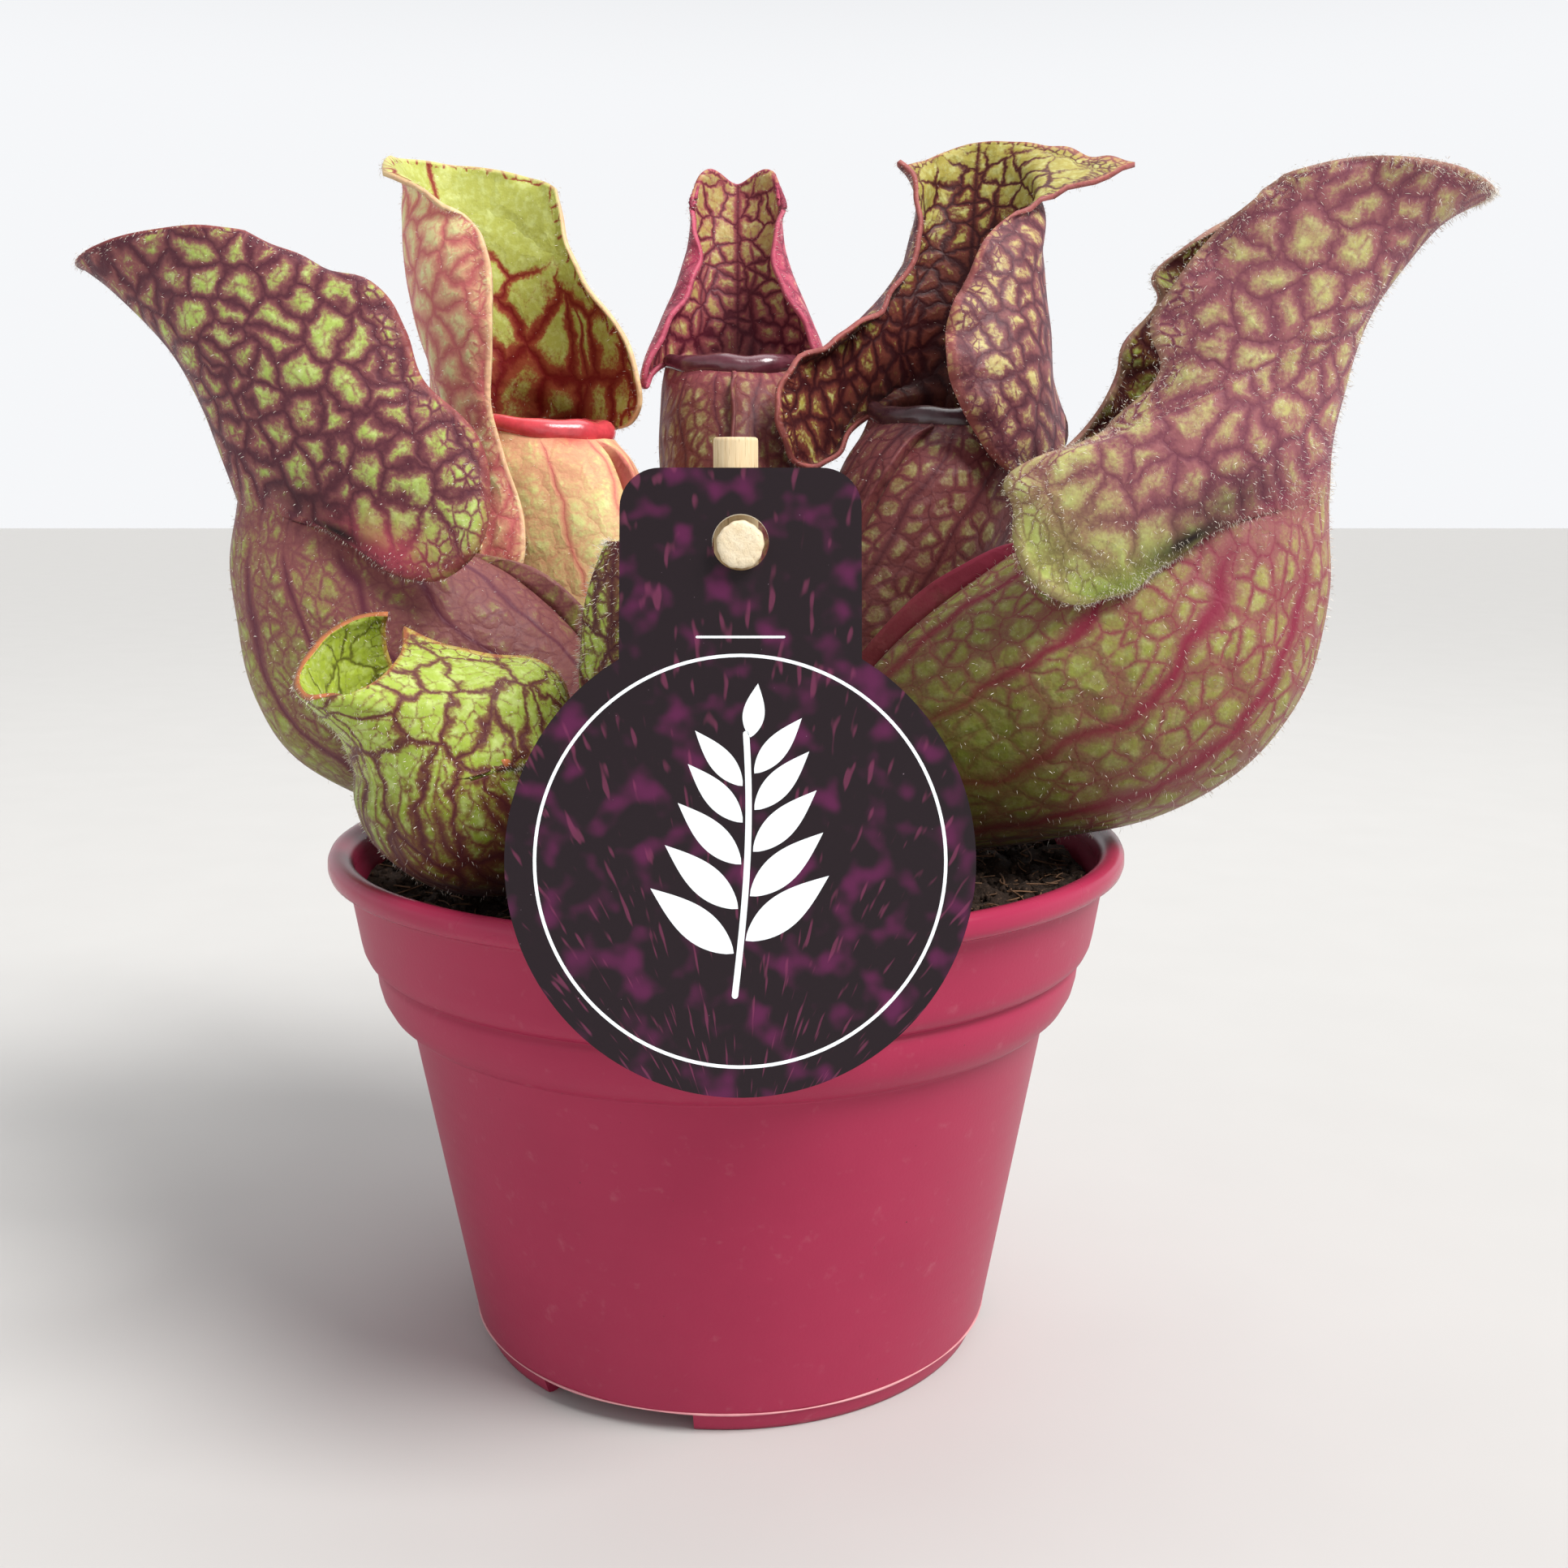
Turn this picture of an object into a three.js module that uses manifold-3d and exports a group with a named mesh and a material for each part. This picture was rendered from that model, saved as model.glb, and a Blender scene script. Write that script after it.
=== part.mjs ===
// A pitcher plant in its nursery pot: a tapered plastic pot on three feet, filled with peat, a rosette of
// seven hooded pitcher leaves round one crown, and a card label hung on a wooden stick.
// Millimetres, +Z up. The leaves are first placed round the pot's axis, and the whole group is then moved so
// that the middle of its footprint is the origin. The front, where the label hangs, is -Y.

import * as THREE from 'three';
import Module from 'manifold-3d';
import { ConvexGeometry } from 'three/addons/geometries/ConvexGeometry.js';
import { mergeVertices } from 'three/addons/utils/BufferGeometryUtils.js';

const wasm = await Module();
wasm.setup();

// Driving dimensions
const FIT_GAP = 0.3; // between pieces that touch on the real plant
const RIM_RADIUS = 60; // a 12 cm pot
const POT_HEIGHT = 77.5;
const POT_WALL = 1.2;
const FOOT_HEIGHT = 3;
const BASE_RADIUS = 40.6;
const POT_SIDES = 40;
const FOOT_GAP_DEG = 35;
const FOOT_GAP_AT_DEG = [246.5, 6.5, 126.5]; // azimuth of the middle of each gap
const DRAIN_COUNT = 6;
const DRAIN_CIRCLE = 26;
const DRAIN_RADIUS = 3.5;

const SOIL_TOP = 72;
const CRATER_RADIUS = 29; // shallow hollow round the crown, where the leaf stalks start
const CRATER_DEPTH = 6.2;
const CROWN_RADIUS = 11;
const CROWN_TOP = 75;
const CROWN_BOTTOM = 50;

const LEAF_WALL = 1.0;
const HOOD_WALL = 0.8;
const SLIVER = 0.06; // detail finer than this goes when solids are joined
const LIP_RADIUS = 1.3;

const STICK_RADIUS = 2.75;
const STICK_X = 2.6;
const STICK_Y = -44.5;
const STICK_TOP = 136;
const STICK_BOTTOM = 54;
const PEG_RADIUS = 2.8;
const CARD_RADIUS = 28;
const CARD_NECK_WIDTH = 29;
const CARD_NECK_TOP = 47; // from the middle of the round part
const CARD_CORNER = 4.8;
const CARD_THICKNESS = 0.6;
const CARD_LEAN_DEG = 13;
const CARD_HOLE_RADIUS = 3.4;
const CARD_HOLE_UP = 38; // from the middle of the round part
const CARD_MIDDLE = new THREE.Vector3(3.3, 0, 86.5);

const radians = THREE.MathUtils.degToRad;
const lerp = THREE.MathUtils.lerp;
const smooth = (t) => THREE.MathUtils.smoothstep(t, 0, 1);

// Materials
const finish = (color, roughness) => new THREE.MeshStandardMaterial({ color, roughness, metalness: 0 });
const potPlastic = finish(0xa5405c, 0.45);
const peat = finish(0x2b211b, 1.0);
const crownSkin = finish(0x6b3a2c, 0.8);
const leafDark = finish(0x86485a, 0.5);
const leafGreen = finish(0x8aa53c, 0.5);
const leafPale = finish(0xc0a86a, 0.5);
const cardPrint = finish(0x3a1630, 0.4);
const wood = finish(0xe0c79a, 0.7);

// Closed meshes and booleans
function solidOf(positions, triangles) {
  const used = [...new Set(triangles.flat())].sort((a, b) => a - b);
  const place = new Map(used.map((index, i) => [index, i]));
  const mesh = new wasm.Mesh({
    numProp: 3,
    vertProperties: Float32Array.from(used.flatMap((index) => positions[index].toArray())),
    triVerts: Uint32Array.from(triangles.flat().map((index) => place.get(index))),
  });
  return new wasm.Manifold(mesh);
}

function solidOfGeometry(geometry) {
  geometry.deleteAttribute('normal');
  geometry.deleteAttribute('uv');
  const merged = mergeVertices(geometry, 1e-4);
  return new wasm.Manifold(
    new wasm.Mesh({
      numProp: 3,
      vertProperties: Float32Array.from(merged.attributes.position.array),
      triVerts: Uint32Array.from(merged.index.array),
    }),
  );
}

function meshOf(name, solid, material) {
  const { vertProperties, triVerts } = solid.getMesh();
  const geometry = new THREE.BufferGeometry();
  geometry.setAttribute('position', new THREE.BufferAttribute(new Float32Array(vertProperties), 3));
  geometry.setIndex([...triVerts]);
  geometry.computeVertexNormals();
  const mesh = new THREE.Mesh(geometry, material);
  mesh.name = name;
  return mesh;
}

// A body of revolution about +Z, from (radius, height) pairs that start and end on the axis or close on
// themselves
function turned(profile, sides) {
  const points = profile.map(([radius, height]) => new THREE.Vector2(radius, height));
  const geometry = new THREE.LatheGeometry(points, sides);
  geometry.rotateX(Math.PI / 2);
  return solidOfGeometry(geometry);
}

function cylinder(radius, bottom, top, sides, x = 0, y = 0) {
  const geometry = new THREE.CylinderGeometry(radius, radius, top - bottom, sides);
  geometry.rotateX(Math.PI / 2);
  geometry.translate(x, y, (top + bottom) / 2);
  return solidOfGeometry(geometry);
}

// The pot's outside below the rim, from the top step down to the base
const POT_OUTSIDE = [
  [57.2, 73.2],
  [56.8, 68.5],
  [55.7, 64.6],
  [53.9, 61.6],
  [53.1, 60.3],
  [52.7, 57.4],
  [51.3, 54.6],
  [49.1, 52.4],
  [BASE_RADIUS, FOOT_HEIGHT],
];

const POT_FLOOR = FOOT_HEIGHT + POT_WALL;
const POT_INSIDE = [
  [56, 73],
  [55.4, 68],
  [52.2, 60.6],
  [47.9, 52],
  [BASE_RADIUS - POT_WALL, POT_FLOOR],
];

function makePot() {
  const footTop = FOOT_HEIGHT + 0.4;
  const body = turned(
    [
      [0, FOOT_HEIGHT],
      [BASE_RADIUS - 0.8, FOOT_HEIGHT],
      ...[...POT_OUTSIDE].reverse(),
      [58.7, 73.3],
      [59.9, 74.8],
      [RIM_RADIUS, 76.4],
      [59.3, POT_HEIGHT],
      [57.4, POT_HEIGHT],
      [56.3, 76.2],
      ...POT_INSIDE,
      [0, POT_FLOOR],
    ],
    POT_SIDES,
  );
  let feet = turned(
    [
      [36.4, footTop],
      [36.9, 0],
      [39.1, 0],
      [BASE_RADIUS - 0.4, footTop],
      [36.4, footTop],
    ],
    POT_SIDES,
  );
  for (const gapAt of FOOT_GAP_AT_DEG) {
    const half = radians(FOOT_GAP_DEG / 2);
    const reach = BASE_RADIUS * 1.2;
    const wedge = new THREE.Shape([
      new THREE.Vector2(0, 0),
      new THREE.Vector2(reach * Math.cos(-half), reach * Math.sin(-half)),
      new THREE.Vector2(reach * Math.cos(half), reach * Math.sin(half)),
    ]);
    const cutter = new THREE.ExtrudeGeometry(wedge, { depth: FOOT_HEIGHT + 2, bevelEnabled: false });
    cutter.rotateZ(radians(gapAt));
    cutter.translate(0, 0, -1);
    feet = feet.subtract(solidOfGeometry(cutter));
  }
  let pot = body.add(feet);
  for (let i = 0; i < DRAIN_COUNT; i += 1) {
    const angle = radians((360 * i) / DRAIN_COUNT + 15);
    const hole = cylinder(
      DRAIN_RADIUS,
      FOOT_HEIGHT - 1,
      POT_FLOOR + 1,
      12,
      DRAIN_CIRCLE * Math.cos(angle),
      DRAIN_CIRCLE * Math.sin(angle),
    );
    pot = pot.subtract(hole);
  }
  return pot;
}

// Peat, with a lumpy top and a crater in the middle
function soilLump(x, y) {
  return 0.5 * Math.sin(0.31 * x + 0.9) * Math.cos(0.27 * y) + 0.4 * Math.sin(0.17 * x - 0.23 * y + 2);
}

function soilHeight(x, y) {
  const radius = Math.hypot(x, y);
  const crater = 1 - smooth((radius - CROWN_RADIUS) / (CRATER_RADIUS - CROWN_RADIUS));
  const lumps = smooth((radius - CRATER_RADIUS) / 8);
  return SOIL_TOP - CRATER_DEPTH * crater + lumps * soilLump(x, y);
}

function makeSoil() {
  const sides = 36;
  const pitRadius = CROWN_RADIUS + FIT_GAP;
  const topRadii = [pitRadius, 15, 19, 24, 31, 39, 47, 54.2];
  const rings = [
    [pitRadius, CROWN_BOTTOM - FIT_GAP],
    ...topRadii.map((radius) => [radius, null]),
    [55.1, SOIL_TOP - 1.5],
    ...POT_INSIDE.slice(1).map(([radius, height]) => [radius - FIT_GAP, height + FIT_GAP]),
  ];
  const positions = [new THREE.Vector3(0, 0, CROWN_BOTTOM - FIT_GAP)];
  for (const [radius, height] of rings) {
    for (let i = 0; i < sides; i += 1) {
      const angle = (2 * Math.PI * i) / sides;
      const x = radius * Math.cos(angle);
      const y = radius * Math.sin(angle);
      positions.push(new THREE.Vector3(x, y, height ?? soilHeight(x, y)));
    }
  }
  positions.push(new THREE.Vector3(0, 0, rings.at(-1)[1]));
  const triangles = [];
  for (let i = 0; i < sides; i += 1) {
    const next = (i + 1) % sides;
    triangles.push([0, 1 + i, 1 + next]);
    for (let ring = 0; ring + 1 < rings.length; ring += 1) {
      const near = 1 + ring * sides;
      const far = near + sides;
      triangles.push([near + i, far + i, far + next], [near + i, far + next, near + next]);
    }
    const last = 1 + (rings.length - 1) * sides;
    triangles.push([positions.length - 1, last + next, last + i]);
  }
  const holeRadius = STICK_RADIUS + FIT_GAP;
  const stickHole = cylinder(holeRadius, STICK_BOTTOM - FIT_GAP, SOIL_TOP + 10, 12, STICK_X, STICK_Y);
  return solidOf(positions, triangles).subtract(stickHole);
}

// The rhizome that bears the leaves, ringed by old leaf scars
function makeCrown() {
  const scars = 4;
  const profile = [[0, CROWN_BOTTOM]];
  for (let i = 0; i <= scars; i += 1) {
    const share = i / scars;
    const height = lerp(CROWN_BOTTOM + 1, CROWN_TOP - 6, share);
    const radius = lerp(CROWN_RADIUS * 0.5, CROWN_RADIUS, Math.sqrt(share));
    profile.push([radius - 0.6, height - 0.9], [radius, height]);
  }
  profile.push([CROWN_RADIUS * 0.75, CROWN_TOP - 2], [CROWN_RADIUS * 0.35, CROWN_TOP], [0, CROWN_TOP + 0.4]);
  return LEAVES.reduce((crown, leaf) => crown.subtract(leafSocket(tubeSheet(leaf))), turned(profile, 20));
}

// Leaves. A leaf's own frame is (out, up, side): out from the crown along its azimuth, up, and to its left as
// it is seen from the crown. A ring of the tube is [out and up of its back, out and up of its front, half
// width, side of its middle]. A hood rises from the back of the mouth along its spine, and each half of it
// spreads from there to an edge, a free margin that starts at the corner of the mouth. Spine and edge are
// curves through points of [out, up, side], the edge's side measured to its own hand. Rows cross from one to
// the other as Bezier curves: start is their sideways pull at the spine and pull the offset of their last
// handle from the edge, both keyed along the margin. A hood with no right half repeats its left one.
// HINGE_DEG is how far round from the back of the mouth its corners are.
const HINGE_DEG = 106;

const LEAVES = [
  {
    name: 'pitcher_right',
    material: leafDark,
    azimuth: -2,
    twist: 0,
    wing: 3.5,
    rings: [
      [12.4, 67.6, 9.4, 70.8, 2.4],
      [16, 69.6, 11, 74.5, 3.4],
      [25, 73, 13.5, 86, 6],
      [38, 75.6, 18, 97, 10.5],
      [52, 77.6, 25, 105.5, 15],
      [66, 81.6, 32, 112, 18],
      [78, 89, 38.5, 116.5, 19],
      [86, 101, 44, 120, 18],
      [88.7, 115, 48, 121.5, 15.5],
      [88, 128, 51, 122.5, 13.5],
    ],
    hoodRows: 11,
    hood: {
      spine: [[88, 135], [89, 142], [91, 150], [94.5, 158], [101, 166], [109, 170.5]],
      left: {
        edge: [
          [61, 121, 15], [56, 118.5, 16], [49.5, 119.5, 15.5], [47.5, 126.5, 13.5], [53, 137, 12],
          [59.5, 147.5, 11], [63, 158, 11.5], [69.5, 166, 12], [78, 170.5, 13],
        ],
        start: [11, 12, 13, 11, 8],
        pull: [[15, 8.5, 0.7], [16, 5, 4], [14, 3, 5.5], [12, 3, 4], [15, 6, 2]],
      },
      right: {
        edge: [
          [61, 120.3, 15.5], [56, 116, 17.3], [49.5, 113.8, 18], [43, 117.5, 17.8], [40.5, 125.5, 16.5],
          [43, 132.5, 15], [51.5, 136, 13.5], [57.5, 141.5, 13], [60.5, 152.5, 13.5], [67.5, 164, 14],
          [76, 171, 14.5],
        ],
        start: [12, 14, 14, 12, 9],
        pull: [
          [14.5, 9.5, -0.5], [16.5, 14, 1.5], [16, 4, 6.5], [13, 2, 6], [12, 3, 4], [14, 5, 3], [16, 6, 2],
        ],
      },
    },
  },
  {
    name: 'pitcher_left',
    material: leafDark,
    azimuth: 179,
    twist: 0,
    wing: 3.5,
    rings: [
      [12.4, 67.6, 9.4, 70.8, 2.4],
      [16, 69.6, 11, 74.5, 3.4],
      [24.5, 73.6, 13.5, 84.5, 5.8],
      [37, 77.4, 17, 96.5, 9.5],
      [51.5, 81.4, 22, 106, 13.2],
      [64.5, 88.6, 27, 112, 15.8],
      [71, 97.8, 32, 116, 16],
      [73.3, 108.5, 37, 118.5, 15],
      [74, 118.5, 41, 120, 13.8],
      [72.2, 128, 43, 121, 12.5],
    ],
    hoodRows: 11,
    hood: {
      spine: [[74, 134], [77, 141.5], [80, 148], [84.5, 153.8], [89.5, 158.7], [94.5, 162]],
      left: {
        edge: [
          [50.5, 121.5, 14.5], [46, 118, 16.5], [39.5, 117, 17.8], [34, 121, 18], [32, 128, 17.5],
          [33.5, 136.5, 16.3], [41, 144, 15.3], [43.5, 151, 14.5], [47, 156.5, 14], [56, 160, 13],
          [66, 164.5, 12],
        ],
        start: [11, 13, 13, 11, 7],
        pull: [[12.7, 9, -0.7], [16, 10.5, 2], [15, 2, 5.5], [13, 2, 5], [12, 4, 3], [12, 3, 2]],
      },
      right: {
        edge: [
          [51, 122, 13.5], [46, 119.5, 13.5], [42, 124, 12.2], [42.5, 133, 11.2], [48.5, 143.5, 10.5],
          [54, 153, 10.5], [61, 158, 10.5], [70, 163, 10.5],
        ],
        start: [10, 11, 11, 9, 6],
        pull: [[12, 6.7, 0.5], [13, 4, 3.5], [11, 2, 5], [11, 3, 3], [11, 3, 2]],
      },
    },
  },
  {
    name: 'pitcher_rear_left',
    material: leafPale,
    azimuth: 131,
    twist: 12,
    wing: 3,
    rings: [
      [12.4, 67.6, 9.4, 70.8, 2.4],
      [16, 70, 11, 75, 3.4],
      [24, 75.5, 13.5, 87, 5.6],
      [35.5, 81.5, 17.5, 100, 8.5],
      [48, 89.5, 22, 112, 11.5],
      [58.5, 99.5, 26, 121.5, 13.6],
      [66, 110.5, 30, 129, 14.6],
      [70, 122, 34, 134, 14.6],
      [71.5, 133, 38, 136.5, 13.6],
      [70, 143, 40.5, 138, 12.4],
    ],
    hoodRows: 11,
    hood: {
      spine: [[70, 150], [71, 158.5], [72.5, 167.5], [75, 176.5], [78, 185.5]],
      left: {
        edge: [
          [49, 136, 17.5], [46, 126, 21], [41, 117, 21.5], [36.5, 117, 20], [37, 124, 18.5],
          [41, 134, 18.5], [43.5, 143, 18.5], [43.3, 156, 18], [45, 166, 17], [50, 172, 17], [65.5, 180, 20],
        ],
        start: [12, 16, 18, 17, 10],
        pull: [[8, 6, 4], [8, 4, 4], [8, 2, 4], [8, 1, 5], [5, 3, -4]],
      },
      right: {
        edge: [
          [47, 139.3, 13], [41.5, 140.5, 12], [38.5, 145, 11.5], [40, 151, 11.5], [45, 158.5, 11.2],
          [51, 165, 10.8], [56, 172, 12], [59.5, 181, 13.5],
        ],
        start: [9, 10, 9, 7],
        pull: [[8, 0, 3], [9, 0, 4], [8, 1, 3], [6, 1, 2], [6, 4, 0]],
      },
    },
  },
  {
    name: 'pitcher_rear_centre',
    material: leafDark,
    azimuth: 90,
    twist: 0,
    wing: 2.5,
    rings: [
      [12.4, 67.6, 9.4, 70.8, 2.4],
      [15.5, 70.6, 10.6, 75.6, 3.2],
      [22, 77.5, 13, 88.5, 5],
      [32, 85, 17, 103.5, 7.2],
      [43, 95, 21.5, 118, 9.6],
      [52, 107, 26.5, 131, 11.6],
      [58.5, 119.5, 31.5, 140, 12.8],
      [62.5, 131.5, 35.5, 145, 13.2],
      [65, 143, 38.5, 148, 12.8],
      [65, 153, 41, 149.5, 12],
    ],
    hoodRows: 9,
    hood: {
      spine: [[65.8, 160], [67.4, 168.5], [69.8, 177], [73, 184.4]],
      left: {
        edge: [
          [47.5, 148.8, 14.6], [44, 146.8, 15.4], [43, 150, 14.6], [45.5, 156, 12], [50, 163, 8.5],
          [54.5, 169, 6.6], [58.5, 174.5, 7], [63, 179.5, 8], [67, 183.2, 7.8],
        ],
        start: [9, 9, 7, 3],
        pull: [[7, 0, 3], [8, 0, 4], [6, 1, 5], [4, 1, 2], [2, 7.3, -2.5]],
      },
    },
  },
  {
    name: 'pitcher_rear_right',
    material: leafDark,
    azimuth: 47.2,
    twist: 27,
    wing: 3,
    rings: [
      [12.4, 67.6, 9.4, 70.8, 2.4],
      [16, 70, 11, 75, 3.4],
      [24, 75.5, 13.5, 87, 5.6],
      [35, 82, 17.5, 100.5, 8.6],
      [47.5, 90, 21.5, 113, 11.8],
      [57.5, 100.5, 26, 123, 14.4],
      [65, 112, 30, 131, 16],
      [69, 123.5, 34, 136, 16.2],
      [70.5, 135, 38, 139, 14.8],
      [69, 146, 41, 140, 13.3],
    ],
    hoodRows: 10,
    hood: {
      spine: [[69.5, 155.5], [70.8, 165], [72.8, 175], [75, 183], [77, 190]],
      left: {
        edge: [
          [49, 139, 17], [43, 134, 19], [36, 134, 22.5], [33.5, 141, 25.5], [37.5, 149, 23.5],
          [45, 155.5, 16], [51.5, 161.5, 9.5], [55.5, 169, 6.5], [58.5, 177, 7], [62, 185, 11],
        ],
        start: [12, 12, 12, 10, 5],
        pull: [[8, 0, 2], [9, 0, -4], [9, 0, -3], [6, 1, 4], [5, -2, 0]],
      },
      right: {
        edge: [
          [48.5, 139.5, 16.5], [42, 133, 16.5], [36, 132.5, 12], [32.5, 138.5, 7.5], [31.5, 147, 3.5],
          [35, 155, 2.5], [41, 162.5, 4.5], [51.5, 173, 9], [71, 184, 28],
        ],
        start: [12, 15, 17, 16, 12],
        pull: [[10, 1, 8], [7, 3, 14], [5, 3, 19], [6, 2, 17], [7, 1, 12], [4, 2, -10]],
      },
    },
  },
  {
    name: 'pitcher_front_left',
    material: leafGreen,
    azimuth: 222,
    twist: 0,
    wing: 1.5,
    rings: [
      [12.4, 67.6, 9.4, 70.8, 2.4],
      [17, 69.8, 11, 75, 3.4],
      [28, 72.8, 17, 80.5, 6],
      [41, 74.6, 25, 87.5, 9.6],
      [51, 77.2, 32, 92, 12.4],
      [57.5, 82, 37, 94.5, 14],
      [60, 87.5, 40, 96, 14.3],
      [59.8, 92.5, 42, 97, 14.2],
    ],
    hoodRows: 8,
    hood: {
      spine: [[61.5, 97.5], [64.5, 101], [68, 104.4]],
      left: {
        edge: [
          [44, 95, 13.5], [39, 96, 13], [36.5, 99, 10.5], [36, 104, 8], [39.5, 107.5, 5.5], [45, 108.3, 2],
          [52.5, 111.5, -4],
        ],
        start: [10, 11, 9, 8],
        pull: [[10, 2, 3.5], [12, 1, 6.5], [9, -1, 9], [6, -4, 10], [5, -6, 10]],
      },
      right: {
        edge: [
          [46, 95, 14], [45, 98, 15], [47, 103, 15.5], [49, 107.5, 15], [50, 111, 13.5], [50.5, 113, 11.5],
        ],
        start: [11, 11, 11, 10],
        pull: [[8, -2, 4], [8, -3, 2], [8, 0, 5]],
      },
    },
  },
  {
    name: 'pitcher_front_small',
    material: leafGreen,
    azimuth: 256,
    twist: 0,
    wing: 1,
    rings: [
      [12.4, 67.8, 9.6, 70.6, 2.1],
      [17, 71.4, 11.5, 75.8, 2.8, -0.3],
      [24, 76.5, 15.5, 83, 4.2, -0.8],
      [31, 83.5, 19, 90.5, 5.6, -1.9],
      [36, 92, 22, 97, 6.4, -3],
      [38.5, 100, 25, 102.5, 6.6, -3.8],
      [39, 106.5, 27.5, 106.5, 6, -4.3],
    ],
    hoodRows: 4,
    hood: {
      spine: [[39, 112, -4.3], [38.2, 117.5, -4.4], [37, 123, -4.2]],
      left: {
        edge: [[29.5, 107.5, 1.4], [29, 111.5, -0.2], [31, 117, -2], [34.5, 122.5, -3.5]],
        start: [4.5, 4, 1.5],
        pull: [[4, 0, 2], [4, 0, 3], [3, 0, 2], [1, 0, 0.8]],
      },
      right: {
        edge: [[29.5, 107.5, 9.8], [29, 111.5, 8.8], [31, 117, 7], [34.5, 122.5, 5]],
        start: [4.5, 4, 1.5],
        pull: [[4, 0, 2], [4, 0, 3], [3, 0, 2], [1, 0, 0.8]],
      },
    },
  },
];

function bezier(a, b, c, d, t) {
  const s = 1 - t;
  return a * s * s * s + 3 * b * s * s * t + 3 * c * s * t * t + d * t * t * t;
}

// A smooth curve through points of any dimension, read at a share of it
function along(points, share) {
  const at = share * (points.length - 1);
  const span = Math.min(Math.floor(at), points.length - 2);
  const t = at - span;
  return points[span].map((b, k) => {
    const c = points[span + 1][k];
    const a = points[span - 1]?.[k] ?? 2 * b - c;
    const d = points[span + 2]?.[k] ?? 2 * c - b;
    const bend = 2 * a - 5 * b + 4 * c - d;
    const turn = 3 * b - a - 3 * c + d;
    return 0.5 * (2 * b + (c - a) * t + bend * t * t + turn * t * t * t);
  });
}

// A point of a tube's ring in the leaf's own frame, at an angle round it from its back
function ringPoint([backOut, backUp, frontOut, frontUp, halfWidth, shift = 0], turn) {
  const towardsBack = (1 + Math.cos(turn)) / 2;
  const out = lerp(frontOut, backOut, towardsBack);
  const up = lerp(frontUp, backUp, towardsBack);
  return [out, up, shift + halfWidth * Math.sin(turn)];
}

// A point of the hood in the leaf's own frame. rise runs from 0 at the mouth to 1 at the top, and across from
// -1 at the right margin to 1 at the left one.
function hoodPoint(leaf, rise, across) {
  const mouth = leaf.rings.at(-1);
  const [backOut, backUp, frontOut, frontUp, halfWidth, shift = 0] = mouth;
  const way = across < 0 ? -1 : 1;
  const { spine, left, right = left } = leaf.hood;
  const half = across < 0 ? right : left;
  const hinge = radians(HINGE_DEG);
  const corner = ringPoint(mouth, hinge);
  corner[2] = halfWidth * Math.sin(hinge) + way * shift;
  // the Bezier handles that follow the mouth's ellipse
  const reach = (4 / 3) * Math.tan(hinge / 4);
  const mouthPull = [
    (reach * Math.sin(hinge) * (backOut - frontOut)) / 2,
    (reach * Math.sin(hinge) * (backUp - frontUp)) / 2,
    -reach * Math.cos(hinge) * halfWidth,
  ];
  const middleLine = [[backOut, backUp, shift], ...spine.map(([out, up, side = 0]) => [out, up, side])];
  const [spineOut, spineUp, spineSide] = along(middleLine, rise);
  const edge = along([corner, ...half.edge], rise);
  const pull = along([mouthPull, ...half.pull], rise);
  const [start] = along([[reach * halfWidth], ...half.start.map((value) => [value])], rise);
  const t = Math.abs(across);
  return [
    bezier(spineOut, spineOut, edge[0] + pull[0], edge[0], t),
    bezier(spineUp, spineUp, edge[1] + pull[1], edge[1], t),
    bezier(spineSide, spineSide + way * start, way * (edge[2] + pull[2]), way * edge[2], t),
  ];
}

// From the leaf's own frame to the pot's. The leaf twists round the middle of each ring, the more the higher.
function placed(leaf, ring, [out, up, side]) {
  const last = leaf.rings.length - 1;
  const row = Math.min(ring, last);
  const middles = leaf.rings.map(([backOut, , frontOut]) => [(backOut + frontOut) / 2]);
  const [middle] = along(middles, row / last);
  const twist = radians(leaf.twist) * smooth(row / last);
  const turnedOut = middle + (out - middle) * Math.cos(twist) - side * Math.sin(twist);
  const turnedSide = (out - middle) * Math.sin(twist) + side * Math.cos(twist);
  const azimuth = radians(leaf.azimuth);
  return new THREE.Vector3(
    turnedOut * Math.cos(azimuth) - turnedSide * Math.sin(azimuth),
    turnedOut * Math.sin(azimuth) + turnedSide * Math.cos(azimuth),
    up,
  );
}

const HOOD_COLUMNS = 5; // on each side of the spine
const FRONT_COLUMNS = 5; // round the front of the mouth, between the hinges

const HOOD_ACROSS = Array.from({ length: 2 * HOOD_COLUMNS + 1 }, (_, i) => i / HOOD_COLUMNS - 1);

function tubeTurns() {
  const hinge = radians(HINGE_DEG);
  const back = HOOD_ACROSS.map((across) => hinge * across);
  const front = Array.from({ length: FRONT_COLUMNS }, (_, i) =>
    lerp(hinge, 2 * Math.PI - hinge, (i + 1) / (FRONT_COLUMNS + 1)),
  );
  return [...back, ...front];
}

// Rows of points joined by triangles, as a tube or as an open sheet
function sheet(rows, closed) {
  const across = rows[0].length;
  const triangles = [];
  for (let row = 1; row < rows.length; row += 1) {
    const low = (row - 1) * across;
    const high = row * across;
    for (let i = closed ? 0 : 1; i < across; i += 1) {
      const last = (i + across - 1) % across;
      triangles.push([low + last, low + i, high + i], [low + last, high + i, high + last]);
    }
  }
  return { positions: rows.flat(), triangles, across };
}

function tubeSheet(leaf) {
  const turns = tubeTurns();
  const rows = leaf.rings.map((ring, row) => turns.map((turn) => placed(leaf, row, ringPoint(ring, turn))));
  return sheet(rows, true);
}

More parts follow.
